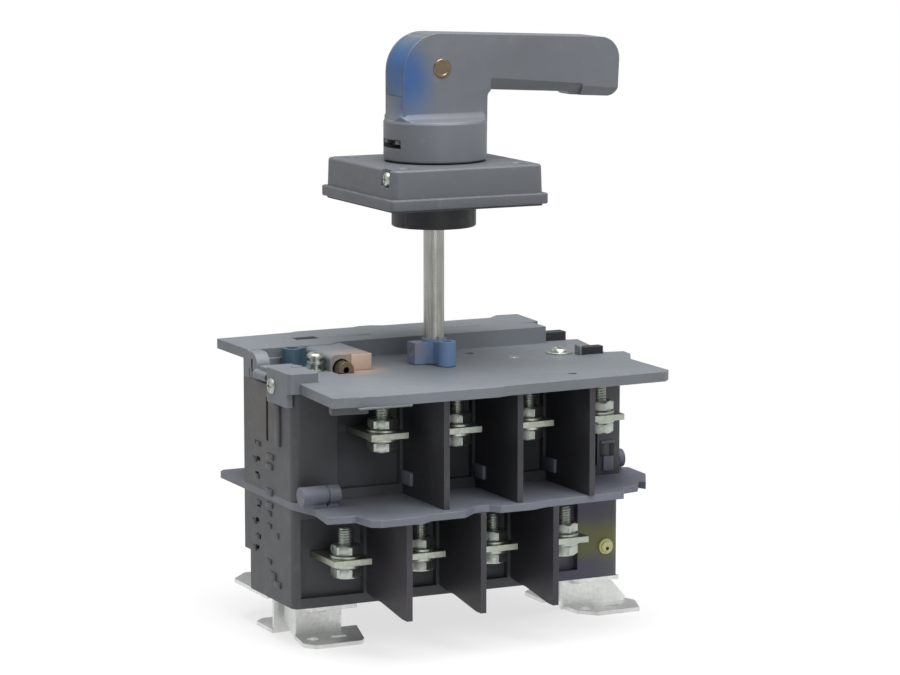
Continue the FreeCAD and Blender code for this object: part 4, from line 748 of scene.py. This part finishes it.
def threaded_rod(name, radius, low, high, place, pitch=1.25, segments=24):
    """A screw thread as a true helix, with a chamfered end."""
    builder = bmesh.new()
    rows = int((high - low) / pitch * THREAD_ROWS)
    rings = []
    for row in range(rows + 1):
        level = low + (high - low) * row / rows
        taper = min(1.0, (high - level) / 1.2 * 0.35 + END_TAPER)
        ring = []
        for index in range(segments):
            share = (level / pitch - index / segments) % 1.0
            depth = THREAD_DEPTH * abs(2 * share - 1)
            reach = (radius - depth) * taper
            angle = 2 * math.pi * index / segments
            ring.append(builder.verts.new((place[0] + reach * math.cos(angle),
                                           place[1] + reach * math.sin(angle), level)))
        rings.append(ring)
    return lofted(name, builder, rings)


# Each deck's terminals: where the poles stand along x, and the level of the bars' undersides
POLES = {"lower": ((-70, -30, 10, 50), 45.0), "upper": ((-50, -10, 30, 70), 106.0)}
TERMINAL_ROWS = (-45, 45)
FLATS = 13
WASHER_BORE = 4.1
bolts = []
nuts = []
washers = []
for places, bar in POLES.values():
    upper_ring = [(WASHER_BORE, bar + 3), (7.6, bar + 3), (7.9, bar + 3.2), (7.9, bar + 4.2),
                  (7.6, bar + 4.4), (WASHER_BORE, bar + 4.4)]
    lower_ring = [(WASHER_BORE, bar - 1.6), (7.6, bar - 1.6), (7.9, bar - 1.4), (7.9, bar - 0.2),
                  (7.6, bar), (WASHER_BORE, bar)]
    for x in places:
        for y in TERMINAL_ROWS:
            bolts.append(threaded_rod("thread", 4.0, bar - 2, bar + 18, (x, y)))
            bolts.append(hex_piece("head", FLATS, bar - 6.9, bar - 1.6, (x, y)))
            nuts.append(hex_piece("nut", FLATS, bar + 4.4, bar + 9.5, (x, y), 3.75))
            washers.append(lathe("upper_washer", upper_ring, (x, y, 0), segments=40))
            washers.append(lathe("lower_washer", lower_ring, (x, y, 0), segments=40))
settle(joined("threaded_bolts", bolts), zinc, replaces=["terminal_bolts"])
settle(joined("hexagon_nuts", nuts), zinc, replaces=["terminal_nuts"])
settle(joined("plain_washers", washers), zinc, replaces=["terminal_washers"])


# Cross-recessed screws
def cross_screw(name, radius, rise, centre, axis, sign=1):
    """A pan head with a cross recess, whose seat is at its centre's level."""
    profile = [(0, sign * rise), (radius * 0.55, sign * rise * 0.96), (radius * 0.86, sign * rise * 0.72),
               (radius, sign * rise * 0.3), (radius, 0), (0, 0)]
    head = lathe(name, profile, centre, axis, 40)
    arm = radius * 0.62
    half = radius * 0.13
    deep = sign * rise * 0.45
    open_end = sign * (rise + 1)
    for reach in ((arm, half), (half, arm)):
        low = Vector((-reach[0], -reach[1], min(deep, open_end)))
        high = Vector((reach[0], reach[1], max(deep, open_end)))
        corners = [TURN_TO[axis] @ low + Vector(centre), TURN_TO[axis] @ high + Vector(centre)]
        combine(head, "DIFFERENCE", solid_box("slot", tuple(map(min, *corners)), tuple(map(max, *corners))))
    return head


WASHER_PROFILE = [(0, 133), (7, 133), (7, 133.7), (6.6, 133.95), (0, 133.95)]
SPACER_PROFILE = [
    (0, 133), (4.4, 133), (4.4, 134.2), (2.5, 134.3), (2.5, 136.4), (4.4, 136.6), (4.4, 137.8), (3.2, 138),
    (3.2, 139.6), (4.5, 139.8), (4.5, 141), (0, 141),
]
settle(joined("cross_screws", [
    cross_screw("side_screw", 4, 1.6, (-94, -10.4, 129.4), "X", -1),
    cross_screw("top_screw", 4.6, 2.1, (71, 0, 133.9), "Z"),
    lathe("top_washer", WASHER_PROFILE, (71, 0, 0)),
    cross_screw("left_screw", 4.2, 1.5, (-65, 2, 141.0), "Z"),
    lathe("left_spacer", SPACER_PROFILE, (-65, 2, 0)),
]), zinc, replaces=["cover_screws"])

# Four screws in the door plate's wells, and the one at its side
PLATE_SCREW = 31
SCREW_PLACES = [(AXIS_X + x, y) for x in (-PLATE_SCREW, PLATE_SCREW) for y in (-PLATE_SCREW, PLATE_SCREW)]
WELL_FLOOR = 225.5
plate_heads = []
for x, y in SCREW_PLACES:
    plate_heads.append(cross_screw("plate_screw", 3.4, 2.0, (x, y, WELL_FLOOR), "Z"))
    plate_heads.append(threaded_rod("plate_thread", 2.1, 214.9, WELL_FLOOR + 0.1, (x, y), 0.7, 16))
plate_heads.append(cross_screw("plate_side_screw", 3.5, 2.0, (-40.2, -31, 231), "X", -1))
settle(joined("plate_screws", plate_heads), zinc, replaces=["escutcheon_screws"])


# Door plate: flange, box with softened edges and a slight draft, corner wells, niche
def square(name, size, radius, low, high, bevel):
    half = size / 2
    outline = round_corners([(AXIS_X - half, -half, radius), (AXIS_X + half, -half, radius),
                             (AXIS_X + half, half, radius), (AXIS_X - half, half, radius)], 6)
    return bevelled(solid_prism(name, outline, "XY", low, high), bevel, 3)


FLANGE_TOP = 221.5
BOX_RISE = 14.35
DRAFT = 0.010
escutcheon = square("escutcheon_shell", 86.5, 3, 216.2, FLANGE_TOP, 0.7)
upper_box = square("upper_box", 83.2, 5, 219, FLANGE_TOP + BOX_RISE, 1.5)
for vertex in upper_box.data.vertices:
    narrowing = 1 - DRAFT * max(0.0, (vertex.co.z / MM - FLANGE_TOP) / BOX_RISE)
    vertex.co.x = (vertex.co.x - AXIS_X * MM) * narrowing + AXIS_X * MM
    vertex.co.y *= narrowing
combine(escutcheon, "UNION", upper_box)
inside = square("inside", 74, 3, 214, 232.8, 0.5)
for x, y in SCREW_PLACES:
    combine(inside, "DIFFERENCE", drum("post", 6, 213, 234, (x, y, 0), segments=32))
combine(inside, "DIFFERENCE",
        drum("hub", 14, 213, 234, SHAFT_AXIS),
        solid_box("niche_wall", (-42, -38, 213), (-35.5, -24, 234)))
combine(escutcheon, "DIFFERENCE", inside,
        drum("plate_bore", 10.05, 210, 240, SHAFT_AXIS, segments=64),
        bevelled(solid_box("niche", (-46, -36, 227), (-39.5, -26, 240)), 0.8, 2))
well_profile = [(0, WELL_FLOOR), (3.6, WELL_FLOOR), (3.6, 234.9), (4.4, 236.2), (0, 236.2)]
for x, y in SCREW_PLACES:
    combine(escutcheon, "DIFFERENCE",
            lathe("well", well_profile, (x, y, 0)),
            drum("hole", 2.3, 210, 226, (x, y, 0), segments=24))
settle(escutcheon, plate, replaces=["escutcheon"], smooth=28)

# Collar under the door plate, with a thin lip and four grip ribs
COLLAR_PROFILE = [(11, 203), (20.7, 203), (21.3, 203.6), (21.3, 213.2), (21.5, 213.4), (21.5, 216.2),
                  (11, 216.2)]
RIB_PROFILE = [(0, 203.6), (0.9, 204.2), (0.9, 215.9), (0, 216.1)]
RIB_REACH = 20.6
RIB_TURNS = (-155.2, -46.7, 24.8, 133.3)
collar = [lathe("collar_shell", COLLAR_PROFILE, SHAFT_AXIS, segments=96)]
for turn in RIB_TURNS:
    angle = math.radians(turn)
    spot = (AXIS_X + RIB_REACH * math.cos(angle), RIB_REACH * math.sin(angle), 0)
    collar.append(lathe("rib", RIB_PROFILE, spot, segments=12))
settle(joined("ribbed_collar", collar), collar_plastic, replaces=["escutcheon_collar"])

# Floor: the camera sees it fade into white further out, and mirrored rays see it three quarters as bright
FLOOR_SIZE = 6000
floor_builder = bmesh.new()
bmesh.ops.create_grid(floor_builder, x_segments=2, y_segments=2, size=FLOOR_SIZE)
floor = new_object("floor", floor_builder)
floor.location = (0, 0, -0.0002)
ground = Shading("floor_pale")
ground.shader.inputs["Roughness"].default_value = 0.9
floor_ray = ground.node("ShaderNodeLightPath")
lit_tone = tone(175, 175, 175)
seen_tone = tone(250, 250, 250)
shown_tone = ground.mix(floor_ray.outputs["Is Camera Ray"], lit_tone, seen_tone)
ground.link(shown_tone, ground.shader.inputs["Base Color"])
away = ground.node("ShaderNodeVectorMath", operation="LENGTH")
ground.link(ground.place, away.inputs[0])
far_glow = ground.ramp(away.outputs["Value"], 0.12, 0.5, 0.68, 1.0, smooth=True)
seen_glow = ground.maths("MULTIPLY", floor_ray.outputs["Is Camera Ray"], far_glow)
mirrored_glow = ground.ramp(floor_ray.outputs["Is Glossy Ray"], 0.0, 1.0, 0.0, 0.75)
glow = ground.node("ShaderNodeEmission")
glow.inputs["Color"].default_value = (1, 1, 1, 1)
surface = ground.blend(ground.maths("MAXIMUM", seen_glow, mirrored_glow), ground.shader.outputs[0],
                       glow.outputs[0])
ground.link(surface, ground.tree.nodes["Material Output"].inputs["Surface"])
floor.data.materials.append(ground.material)

# World: a dim even sky lights the part. The backdrop is white for the camera; mirrored rays see it dark at
# the photograph's side and dimmer at the far side.
SKY_STRENGTH = 0.30
FRONT_SIDE = (-0.434, -0.901, 0.0)
world = bpy.data.worlds.new("studio")
bpy.context.scene.world = world
world.use_nodes = True
around = Nodes(world.node_tree)
sky = around.tree.nodes["Background"]
sky.inputs["Color"].default_value = (1, 1, 1, 1)
sky.inputs["Strength"].default_value = SKY_STRENGTH
backdrop = around.node("ShaderNodeBackground")
world_ray = around.node("ShaderNodeLightPath")
seen_directly = world_ray.outputs["Is Camera Ray"]
toward = around.measure("DOT_PRODUCT", around.node("ShaderNodeTexCoord").outputs["Generated"], FRONT_SIDE)
near_side = around.ramp(toward, 0.35, 0.9, 0.95, 0.15, smooth=True)
far_side = around.ramp(toward, -0.97, -0.45, 0.4, 0.95, smooth=True)
mirrored_strength = around.maths("MINIMUM", near_side, far_side)
around.link(around.maths("MAXIMUM", mirrored_strength, seen_directly), backdrop.inputs["Strength"])
seen = around.maths("MAXIMUM", seen_directly, world_ray.outputs["Is Glossy Ray"])
around.link(around.blend(seen, sky.outputs[0], backdrop.outputs[0]),
            around.tree.nodes["World Output"].inputs["Surface"])


def lamp(name, place, aim, size, power):
    """A square lamp that faces a point."""
    data = bpy.data.lights.new(name, "AREA")
    data.shape = "SQUARE"
    data.size = size
    data.energy = power
    made = bpy.data.objects.new(name, data)
    made.location = place
    made.rotation_mode = "QUATERNION"
    made.rotation_quaternion = (Vector(aim) - Vector(place)).to_track_quat("-Z", "Y")
    bpy.context.scene.collection.objects.link(made)


lamp("overhead", (-0.1, -0.1, 1.5), (0, 0, 0.15), 1.0, 21.5)
lamp("high_front", (0.25, -1.0, 1.5), (0, 0, 0.2), 0.8, 14.5)
lamp("high_left", (-1.2, -0.2, 1.2), (0, 0, 0.15), 0.8, 1.8)
lamp("low_front", (-0.3, -2.0, 0.45), (0, 0, 0.15), 0.8, 4.0)
